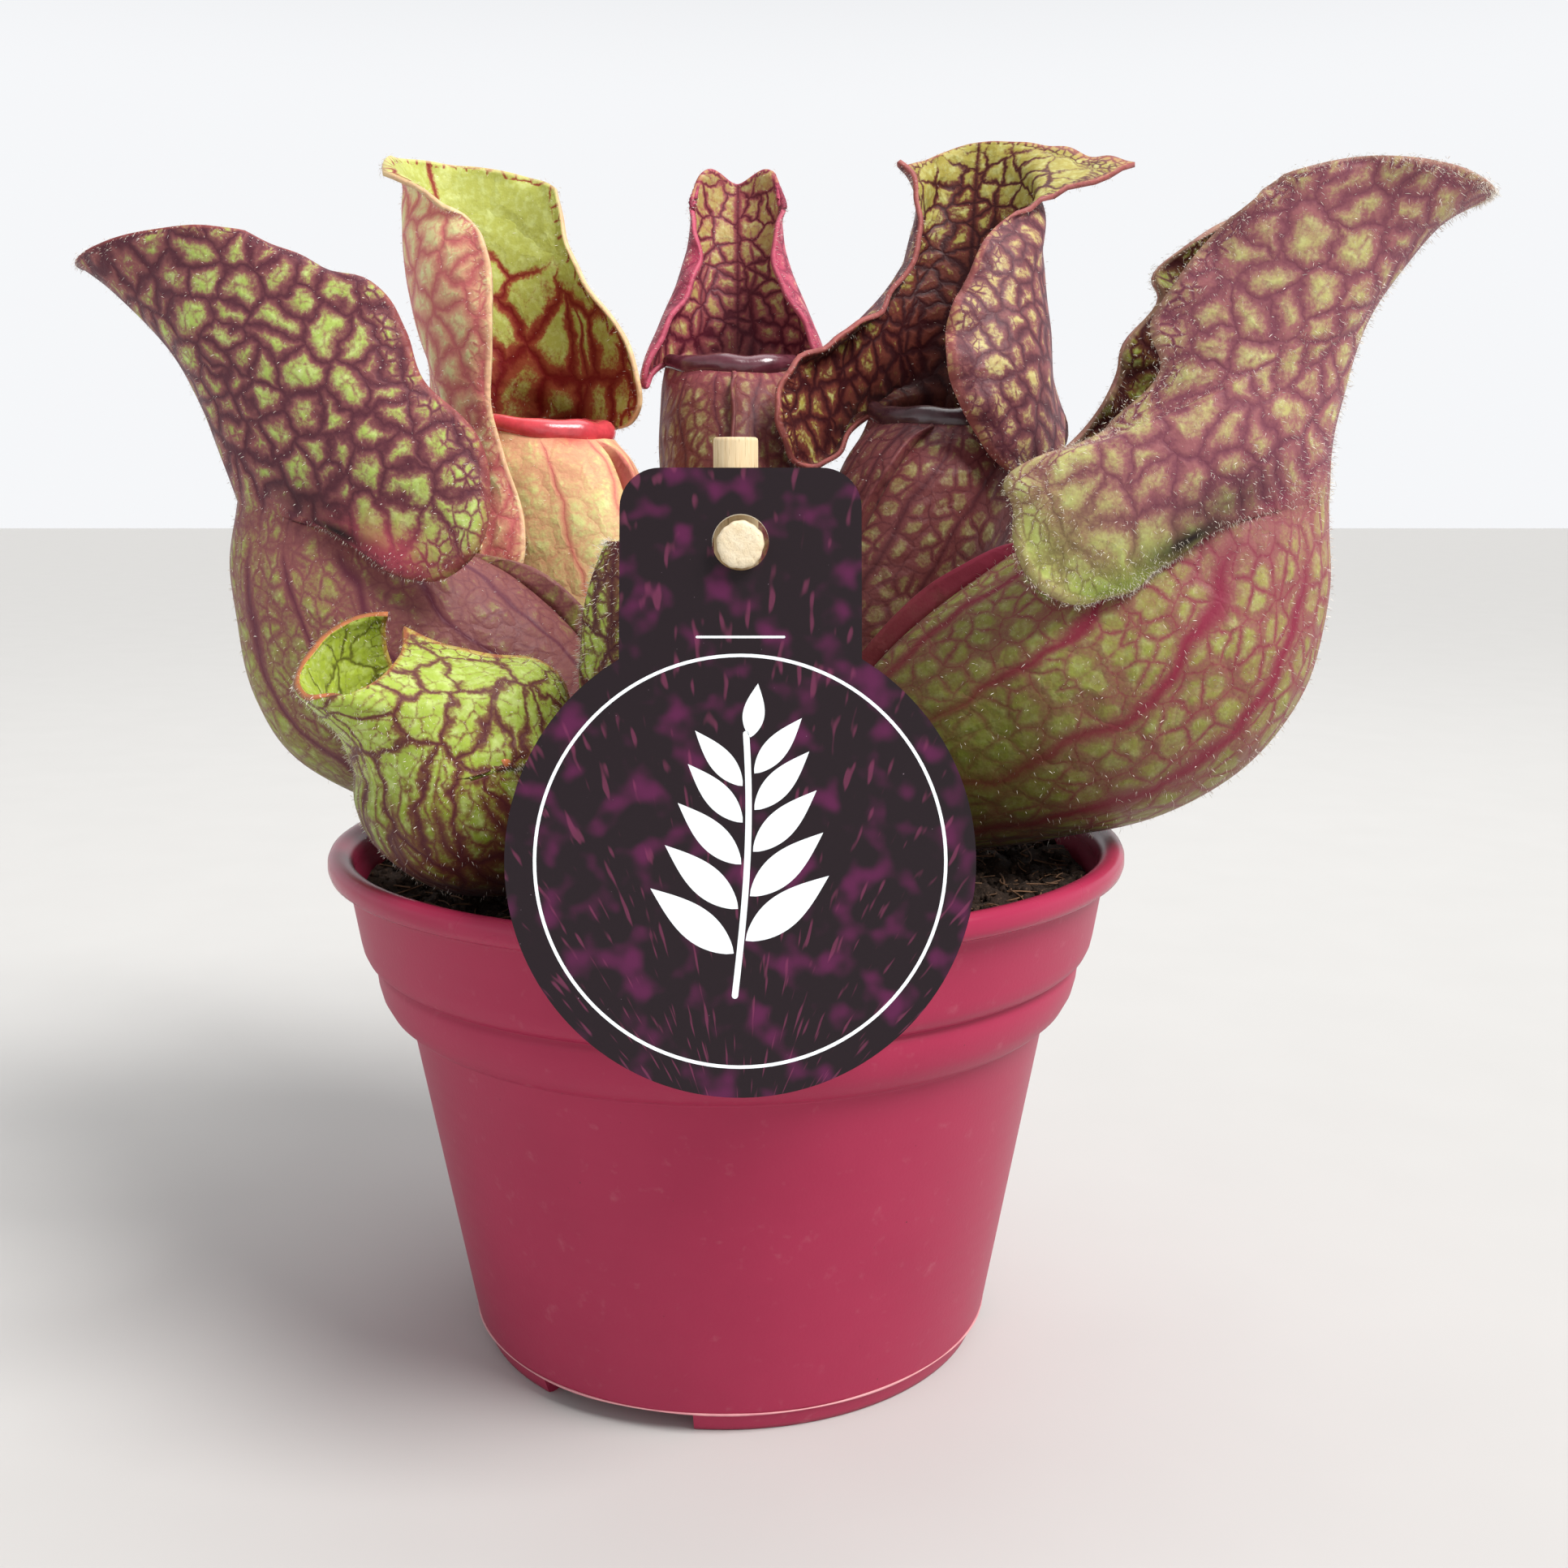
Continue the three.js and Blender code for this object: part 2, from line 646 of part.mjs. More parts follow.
// The hood starts inside the tube's wall, just under the mouth
function hoodSheet(leaf) {
  const last = leaf.rings.length - 1;
  const rowAt = (rise) => HOOD_ACROSS.map((across) => placed(leaf, last, hoodPoint(leaf, rise, across)));
  const under = HOOD_ACROSS.map((across) =>
    placed(leaf, last - 1, ringPoint(leaf.rings[last - 1], radians(HINGE_DEG) * across)),
  );
  const root = rowAt(0).map((point, i) => point.lerp(under[i], 0.15));
  const rows = Array.from({ length: leaf.hoodRows }, (_, i) => rowAt((i + 1) / leaf.hoodRows));
  return sheet([root, ...rows], false);
}

// The directed edges that only one triangle has
function openEdges(triangles) {
  const edges = new Map();
  for (const [a, b, c] of triangles) {
    for (const [from, to] of [[a, b], [b, c], [c, a]]) {
      if (!edges.delete(`${to},${from}`)) {
        edges.set(`${from},${to}`, [from, to]);
      }
    }
  }
  return [...edges.values()];
}

function vertexNormals(positions, triangles) {
  const normals = positions.map(() => new THREE.Vector3());
  for (const [a, b, c] of triangles) {
    const edge = positions[b].clone().sub(positions[a]);
    const normal = edge.cross(positions[c].clone().sub(positions[a]));
    for (const i of [a, b, c]) {
      normals[i].add(normal);
    }
  }
  return normals.map((normal) => normal.normalize());
}

function middleOf(points) {
  return points.reduce((sum, point) => sum.add(point), new THREE.Vector3()).divideScalar(points.length);
}

// An open sheet given its thickness. Each of its cells is a convex block by itself and they are then joined,
// so that a fold may touch its neighbour.
function thickened({ positions, triangles }, thickness) {
  const normals = vertexNormals(positions, triangles);
  const corner = (i, share) => positions[i].clone().addScaledVector(normals[i], share * thickness);
  const cells = [];
  for (let i = 0; i < triangles.length; i += 2) {
    const corners = [...new Set([...triangles[i], ...triangles[i + 1]])];
    const block = new ConvexGeometry(corners.flatMap((index) => [corner(index, 0.5), corner(index, -0.5)]));
    cells.push(solidOfGeometry(block));
  }
  return wasm.Manifold.union(cells);
}

// The biggest body of a solid, without sealed hollows or scraps
function mainBody(solid) {
  return solid.decompose().reduce((main, body) => (body.volume() > main.volume() ? body : main));
}

const CAVITY_RING = 2; // the tube is solid stalk below this ring

// The tube given its thickness, open at the mouth and blind below
function tubeShell({ positions, triangles, across }) {
  const normals = vertexNormals(positions, triangles);
  const shift = (share) => positions.map((p, i) => p.clone().addScaledVector(normals[i], share * LEAF_WALL));
  const count = positions.length;
  const cavityStart = CAVITY_RING * across;
  const points = [...shift(0.5), ...shift(-0.5)];
  const foot = points.push(middleOf(points.slice(0, across))) - 1;
  const floor = points.push(middleOf(points.slice(count + cavityStart, count + cavityStart + across))) - 1;
  const inner = triangles
    .filter((triangle) => Math.min(...triangle) >= cavityStart)
    .map(([a, b, c]) => [a + count, c + count, b + count]);
  const walls = openEdges(triangles).flatMap(([from, to]) =>
    from < across ? [[to, from, foot]] : [[to, from, from + count], [to, from + count, to + count]],
  );
  const floorFan = openEdges(inner)
    .filter(([from]) => from < count + cavityStart + across)
    .map(([from, to]) => [to, from, floor]);
  return solidOf(points, [...triangles, ...inner, ...walls, ...floorFan]);
}

// The room that a leaf's stalk needs in the crown
function leafSocket({ positions, triangles, across }) {
  const rings = 3;
  const stalk = triangles.filter((triangle) => Math.max(...triangle) < rings * across);
  const normals = vertexNormals(positions, triangles);
  const room = LEAF_WALL / 2 + FIT_GAP;
  const points = positions
    .slice(0, rings * across)
    .map((p, i) => p.clone().addScaledVector(normals[i], room));
  const inward = points[0].clone().sub(points[across]).setLength(FIT_GAP);
  for (const point of points.slice(0, across)) {
    point.add(inward);
  }
  const foot = points.push(middleOf(points.slice(0, across))) - 1;
  const top = points.push(middleOf(points.slice((rings - 1) * across, rings * across))) - 1;
  const caps = openEdges(stalk).map(([from, to]) => [to, from, from < across ? foot : top]);
  return solidOf(points, [...stalk, ...caps]);
}

// A closed tube round a path, with its radius given at each point
function beadSolid(path, radiusAt, sides) {
  const points = [];
  const triangles = [];
  path.forEach((centre, i) => {
    const ahead = path[Math.min(i + 1, path.length - 1)].clone().sub(path[Math.max(i - 1, 0)]).normalize();
    const level = new THREE.Vector3(0, 0, 1).cross(ahead).normalize();
    const rise = ahead.clone().cross(level);
    for (let k = 0; k < sides; k += 1) {
      const angle = (2 * Math.PI * k) / sides;
      points.push(
        centre
          .clone()
          .addScaledVector(level, radiusAt(i) * Math.cos(angle))
          .addScaledVector(rise, radiusAt(i) * Math.sin(angle)),
      );
      const next = (k + 1) % sides;
      if (i > 0) {
        const low = (i - 1) * sides;
        const high = i * sides;
        triangles.push([low + k, low + next, high + next], [low + k, high + next, high + k]);
      }
    }
  });
  const last = (path.length - 1) * sides;
  for (let k = 1; k + 1 < sides; k += 1) {
    triangles.push([0, k + 1, k], [last, last + k, last + k + 1]);
  }
  return solidOf(points, triangles);
}

// The rolled lip round the front of the mouth, from hinge to hinge
function leafLip(leaf) {
  const hinge = radians(HINGE_DEG);
  const lastRing = leaf.rings.length - 1;
  const steps = 10;
  const path = [];
  for (let i = 0; i <= steps; i += 1) {
    const turn = lerp(hinge - 0.05, 2 * Math.PI - hinge + 0.05, i / steps);
    const point = placed(leaf, lastRing, ringPoint(leaf.rings[lastRing], turn));
    path.push(point.add(new THREE.Vector3(0, 0, 0.3)));
  }
  const size = leaf.rings[lastRing][4] / 13;
  return beadSolid(path, (i) => LIP_RADIUS * size * (0.6 + 0.4 * Math.sin((Math.PI * i) / steps)), 8);
}

// The thin wing down the front of the tube
function leafWing(leaf) {
  const last = leaf.rings.length - 1;
  const points = [];
  const triangles = [];
  const halfThickness = 0.45;
  const steps = 12;
  const fronts = leaf.rings.map((ring, row) => placed(leaf, row, ringPoint(ring, Math.PI)).toArray());
  const middles = leaf.rings.map((ring, row) => {
    const [out, up] = ringPoint(ring, Math.PI / 2);
    return placed(leaf, row, [out, up, ring[5] ?? 0]).toArray();
  });
  const at = (curve, share) => new THREE.Vector3(...along(curve, share));
  for (let i = 0; i <= steps; i += 1) {
    const share = lerp(1.5 / last, 1 - 0.15 / last, i / steps);
    const root = at(fronts, share);
    const outward = root.clone().sub(at(middles, share)).normalize();
    const run = at(fronts, share + 0.01).sub(at(fronts, share - 0.01)).normalize();
    const across = run.clone().cross(outward).normalize().multiplyScalar(halfThickness);
    const height = 0.3 + leaf.wing * Math.sin((Math.PI * i) / steps) ** 0.7;
    const tip = root.clone().addScaledVector(outward, height);
    const foot = root.clone().addScaledVector(outward, -0.2);
    const base = points.length;
    points.push(foot.clone().add(across), foot.sub(across), tip.clone().sub(across), tip.add(across));
    if (i > 0) {
      for (let k = 0; k < 4; k += 1) {
        const next = (k + 1) % 4;
        triangles.push([base - 4 + k, base - 4 + next, base + next], [base - 4 + k, base + next, base + k]);
      }
    }
  }
  const end = points.length - 4;
  triangles.push([0, 3, 2], [0, 2, 1], [end, end + 1, end + 2], [end, end + 2, end + 3]);
  return solidOf(points, triangles);
}

function makeLeaf(leaf) {
  const hood = thickened(hoodSheet(leaf), HOOD_WALL);
  const whole = tubeShell(tubeSheet(leaf)).add(hood).add(leafLip(leaf)).add(leafWing(leaf));
  return mainBody(whole.simplify(SLIVER));
}

// The card label, drawn flat in XY with its round part's middle at the origin, then leant back on the rim
function cardPlacement(geometry) {
  const lean = radians(CARD_LEAN_DEG);
  const back = RIM_RADIUS + FIT_GAP;
  const leanBack = (CARD_MIDDLE.z - POT_HEIGHT) * Math.tan(lean);
  geometry.translate(0, 0, -CARD_THICKNESS / 2);
  geometry.rotateX(Math.PI / 2 - lean);
  const away = CARD_THICKNESS / 2 / Math.cos(lean);
  geometry.translate(CARD_MIDDLE.x, -back - away + leanBack, CARD_MIDDLE.z);
  return geometry;
}

function makeCard() {
  const halfNeck = CARD_NECK_WIDTH / 2;
  const shoulder = Math.acos(halfNeck / CARD_RADIUS);
  const cornerUp = CARD_NECK_TOP - CARD_CORNER;
  const outline = new THREE.Shape();
  outline.absarc(0, 0, CARD_RADIUS, Math.PI - shoulder, shoulder, false);
  outline.lineTo(halfNeck, cornerUp);
  outline.absarc(halfNeck - CARD_CORNER, cornerUp, CARD_CORNER, 0, Math.PI / 2, false);
  outline.absarc(CARD_CORNER - halfNeck, cornerUp, CARD_CORNER, Math.PI / 2, Math.PI, false);
  outline.closePath();
  const hole = new THREE.Path();
  hole.absarc(0, CARD_HOLE_UP, CARD_HOLE_RADIUS, 0, 2 * Math.PI, true);
  outline.holes.push(hole);
  const options = { depth: CARD_THICKNESS, bevelEnabled: false, curveSegments: 14 };
  return solidOfGeometry(cardPlacement(new THREE.ExtrudeGeometry(outline, options)));
}

function makeStick() {
  return cylinder(STICK_RADIUS, STICK_BOTTOM, STICK_TOP, 16, STICK_X, STICK_Y);
}

// A short dowel from the front of the stick, through the card's hole
function makePeg() {
  const lean = radians(CARD_LEAN_DEG);
  const cardAt = CARD_MIDDLE.z + CARD_HOLE_UP * Math.cos(lean);
  const cardFront = -RIM_RADIUS - FIT_GAP - CARD_THICKNESS + (cardAt - POT_HEIGHT) * Math.tan(lean);
  const front = cardFront - 2.4;
  const length = STICK_Y - front;
  const geometry = new THREE.CylinderGeometry(PEG_RADIUS, PEG_RADIUS, length, 16);
  geometry.translate(CARD_MIDDLE.x, (STICK_Y + front) / 2, cardAt - 0.2);
  const room = cylinder(STICK_RADIUS + FIT_GAP, STICK_BOTTOM, STICK_TOP + 1, 16, STICK_X, STICK_Y);
  return mainBody(solidOfGeometry(geometry).subtract(room));
}

// Assembly
const plant = new THREE.Group();
plant.add(meshOf('pot', makePot(), potPlastic));
plant.add(meshOf('soil', makeSoil(), peat));
plant.add(meshOf('crown', makeCrown(), crownSkin));
for (const leaf of LEAVES) {
  plant.add(meshOf(leaf.name, makeLeaf(leaf), leaf.material));
}
plant.add(meshOf('label_card', makeCard(), cardPrint));
plant.add(meshOf('label_stick', makeStick(), wood));
plant.add(meshOf('label_peg', makePeg(), wood));

const footprint = new THREE.Box3().setFromObject(plant).getCenter(new THREE.Vector3());
plant.position.set(-footprint.x, -footprint.y, 0);

export default plant;
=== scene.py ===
import math

import bpy
import numpy as np
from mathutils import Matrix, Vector


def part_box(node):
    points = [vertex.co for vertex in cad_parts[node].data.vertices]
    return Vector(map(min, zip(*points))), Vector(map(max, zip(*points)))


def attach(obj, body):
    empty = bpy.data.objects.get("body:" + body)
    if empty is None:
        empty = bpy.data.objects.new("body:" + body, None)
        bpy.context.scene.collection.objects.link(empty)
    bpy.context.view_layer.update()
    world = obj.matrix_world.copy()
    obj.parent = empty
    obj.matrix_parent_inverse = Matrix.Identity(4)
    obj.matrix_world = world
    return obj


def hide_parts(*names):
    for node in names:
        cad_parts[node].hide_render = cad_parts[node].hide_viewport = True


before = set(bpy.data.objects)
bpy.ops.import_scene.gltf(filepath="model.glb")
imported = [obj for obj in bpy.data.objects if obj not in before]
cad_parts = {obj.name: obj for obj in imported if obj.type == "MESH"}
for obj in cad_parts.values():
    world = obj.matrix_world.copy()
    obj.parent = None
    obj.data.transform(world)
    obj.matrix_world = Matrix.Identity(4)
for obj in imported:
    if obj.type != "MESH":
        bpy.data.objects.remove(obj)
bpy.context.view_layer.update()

MM = 0.001
ROUND = 2 * math.pi
POT_LOW, POT_HIGH = (np.array(corner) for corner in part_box("pot"))
AXIS = np.array([*((POT_LOW + POT_HIGH) / 2)[:2], 0.0])  # foot of the pot's axis, in metres


# Nodes of a material
def linear(code):
    """A colour for the shader from its usual six-digit code."""
    values = [int(code[i : i + 2], 16) / 255 for i in (0, 2, 4)]
    return (*[v / 12.92 if v <= 0.04045 else ((v + 0.055) / 1.055) ** 2.4 for v in values], 1.0)


class Value:
    """A number that a material's nodes work out. Arithmetic on it adds nodes."""

    def __init__(self, skin, socket):
        self.skin = skin
        self.socket = socket

    def __add__(self, other):
        return self.skin.math("ADD", self, other)

    def __sub__(self, other):
        return self.skin.math("SUBTRACT", self, other)

    def __rsub__(self, other):
        return self.skin.math("SUBTRACT", other, self)

    def __mul__(self, other):
        return self.skin.math("MULTIPLY", self, other)


class Material:
    """A node material, built one node at a time. Arguments are numbers, tuples, values, nodes' outputs or
    six-digit colours."""

    def __init__(self, name):
        self.data = bpy.data.materials.new(name)
        self.data.use_nodes = True
        self.tree = self.data.node_tree
        self.shader = self.tree.nodes["Principled BSDF"]

    def put(self, socket, value):
        if isinstance(value, Value):
            value = value.socket
        if isinstance(value, str):
            value = linear(value)
        if isinstance(value, bpy.types.NodeSocket):
            self.tree.links.new(value, socket)
        elif value is not None:
            socket.default_value = value

    def node(self, kind, inputs=(), **settings):
        """The outputs of a new node."""
        node = self.tree.nodes.new(kind)
        for key, value in settings.items():
            setattr(node, key, value)
        for key, value in dict(inputs).items():
            self.put(node.inputs[key], value)
        return node.outputs

    def math(self, operation, a, b=0.0, clamp=False):
        return Value(self, self.node("ShaderNodeMath", {0: a, 1: b}, operation=operation, use_clamp=clamp)[0])

    def vector(self, operation, *places):
        outputs = self.node("ShaderNodeVectorMath", enumerate(places), operation=operation)
        return outputs["Value" if operation == "LENGTH" else "Vector"]

    def ease(self, value, low, high, to_low=0.0, to_high=1.0):
        inputs = {"Value": value, "From Min": low, "From Max": high, "To Min": to_low, "To Max": to_high}
        return Value(self, self.node("ShaderNodeMapRange", inputs, interpolation_type="SMOOTHSTEP")["Result"])

    def mix(self, share, a, b):
        node = self.tree.nodes.new("ShaderNodeMix")
        node.data_type = "RGBA"
        inputs = {socket.identifier: socket for socket in node.inputs}
        for key, value in {"Factor_Float": share, "A_Color": a, "B_Color": b}.items():
            self.put(inputs[key], value)
        return next(socket for socket in node.outputs if socket.identifier == "Result_Color")

    def noise(self, size, detail=2.0, place=None, seed=0.0, roughness=0.55):
        """Noise from 0 to 1, with size its grain in millimetres."""
        place = place or self.place()
        if seed:
            place = self.vector("ADD", place, (seed, seed * 0.37, -seed))
        inputs = {"Vector": place, "Scale": 1 / (size * MM), "Detail": detail, "Roughness": roughness}
        return Value(self, self.node("ShaderNodeTexNoise", inputs)["Fac"])

    def place(self):
        return self.node("ShaderNodeTexCoord")["Object"]

    def flat_place(self, uv_map):
        return self.node("ShaderNodeUVMap", uv_map=uv_map)["UV"]

    def attribute(self, name):
        return Value(self, self.node("ShaderNodeAttribute", attribute_name=name)["Fac"])

    def bump(self, height, depth, strength, normal=None):
        """depth is in millimetres."""
        inputs = {"Height": height, "Distance": depth * MM, "Strength": strength, "Normal": normal}
        return self.node("ShaderNodeBump", inputs)["Normal"]

    def finish(self, color, roughness, normal=None, **rest):
        inputs = {"base_color": color, "roughness": roughness, "normal": normal, **rest}
        for key, value in inputs.items():
            self.put(self.shader.inputs[key.replace("_", " ").title().replace("Ior", "IOR")], value)
        return self.data


# Meshes
def mesh_object(name, vertices, faces, material, replaces=None, slot=None, smooth=True):
    """vertices are in millimetres from the pot's axis. material is one material or a list of them."""
    mesh = bpy.data.meshes.new(name)
    places = np.asarray(vertices, float) * MM + AXIS
    mesh.from_pydata(places.tolist(), [], [tuple(int(i) for i in face) for face in faces])
    mesh.update()
    for one in material if isinstance(material, list) else [material]:
        mesh.materials.append(one)
    mesh.polygons.foreach_set("use_smooth", [smooth] * len(mesh.polygons))
    piece = bpy.data.objects.new(name, mesh)
    bpy.context.scene.collection.objects.link(piece)
    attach(piece, "root")
    if replaces:
        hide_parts(replaces)
    return piece


def grid_faces(rows, columns, closed, first=0):
    """Quads of a grid whose rows run up and whose columns run round."""
    faces = []
    for row in range(rows - 1):
        for i in range(columns if closed else columns - 1):
            after = (i + 1) % columns
            low = first + row * columns
            high = low + columns
            faces.append((low + i, low + after, high + after, high + i))
    return faces


def lathe(profile, sides, start=0.0, sweep=ROUND):
    """Vertices and faces of a turned surface from (radius, height) pairs."""
    full = sweep == ROUND
    turns = start + sweep * np.arange(sides if full else sides + 1) / sides
    radii, heights = np.array(profile, float).T
    x, y = np.outer(radii, np.cos(turns)), np.outer(radii, np.sin(turns))
    z = np.outer(heights, np.ones(len(turns)))
    return np.stack([x, y, z], axis=-1).reshape(-1, 3), grid_faces(len(profile), len(turns), full)


def merged(parts):
    """One vertex and face list from several."""
    vertices, faces, offset = [], [], 0
    for some, polygons in parts:
        vertices.append(np.asarray(some, float).reshape(-1, 3))
        faces += [tuple(i + offset for i in face) for face in polygons]
        offset += len(vertices[-1])
    return np.vstack(vertices), faces


def unit(vectors):
    return vectors / np.maximum(np.linalg.norm(vectors, axis=-1, keepdims=True), 1e-9)


def wobble(points, size, seed):
    """Smooth random values from -1 to 1 at points in space, repeatable, with size their grain."""
    rng = np.random.default_rng(seed)
    total = np.zeros(len(points))
    for _ in range(7):
        direction = rng.normal(size=3)
        direction /= np.linalg.norm(direction)
        length = size * rng.uniform(0.7, 1.5)
        total += np.sin(points @ direction * ROUND / length + rng.uniform(0, 6.28))
    return total / 3.5


def smooth_step(low, high, value):
    t = np.clip((np.asarray(value, float) - low) / (high - low), 0, 1)
    return t * t * (3 - 2 * t)


def tube_along(path, radii, sides):
    """A closed round tube along a path."""
    path = np.asarray(path, float)
    ahead = unit(np.gradient(path, axis=0))
    level = unit(np.cross([0, 0, 1.0], ahead))
    rise = np.cross(ahead, level)
    turns = ROUND * np.arange(sides) / sides
    ring = level[:, None] * np.cos(turns)[None, :, None] + rise[:, None] * np.sin(turns)[None, :, None]
    points = path[:, None] + ring * np.broadcast_to(radii, len(path))[:, None, None]
    last = (len(path) - 1) * sides
    ends = [tuple(range(sides))[::-1], tuple(last + i for i in range(sides))]
    return points.reshape(-1, 3), grid_faces(len(path), sides, True) + ends


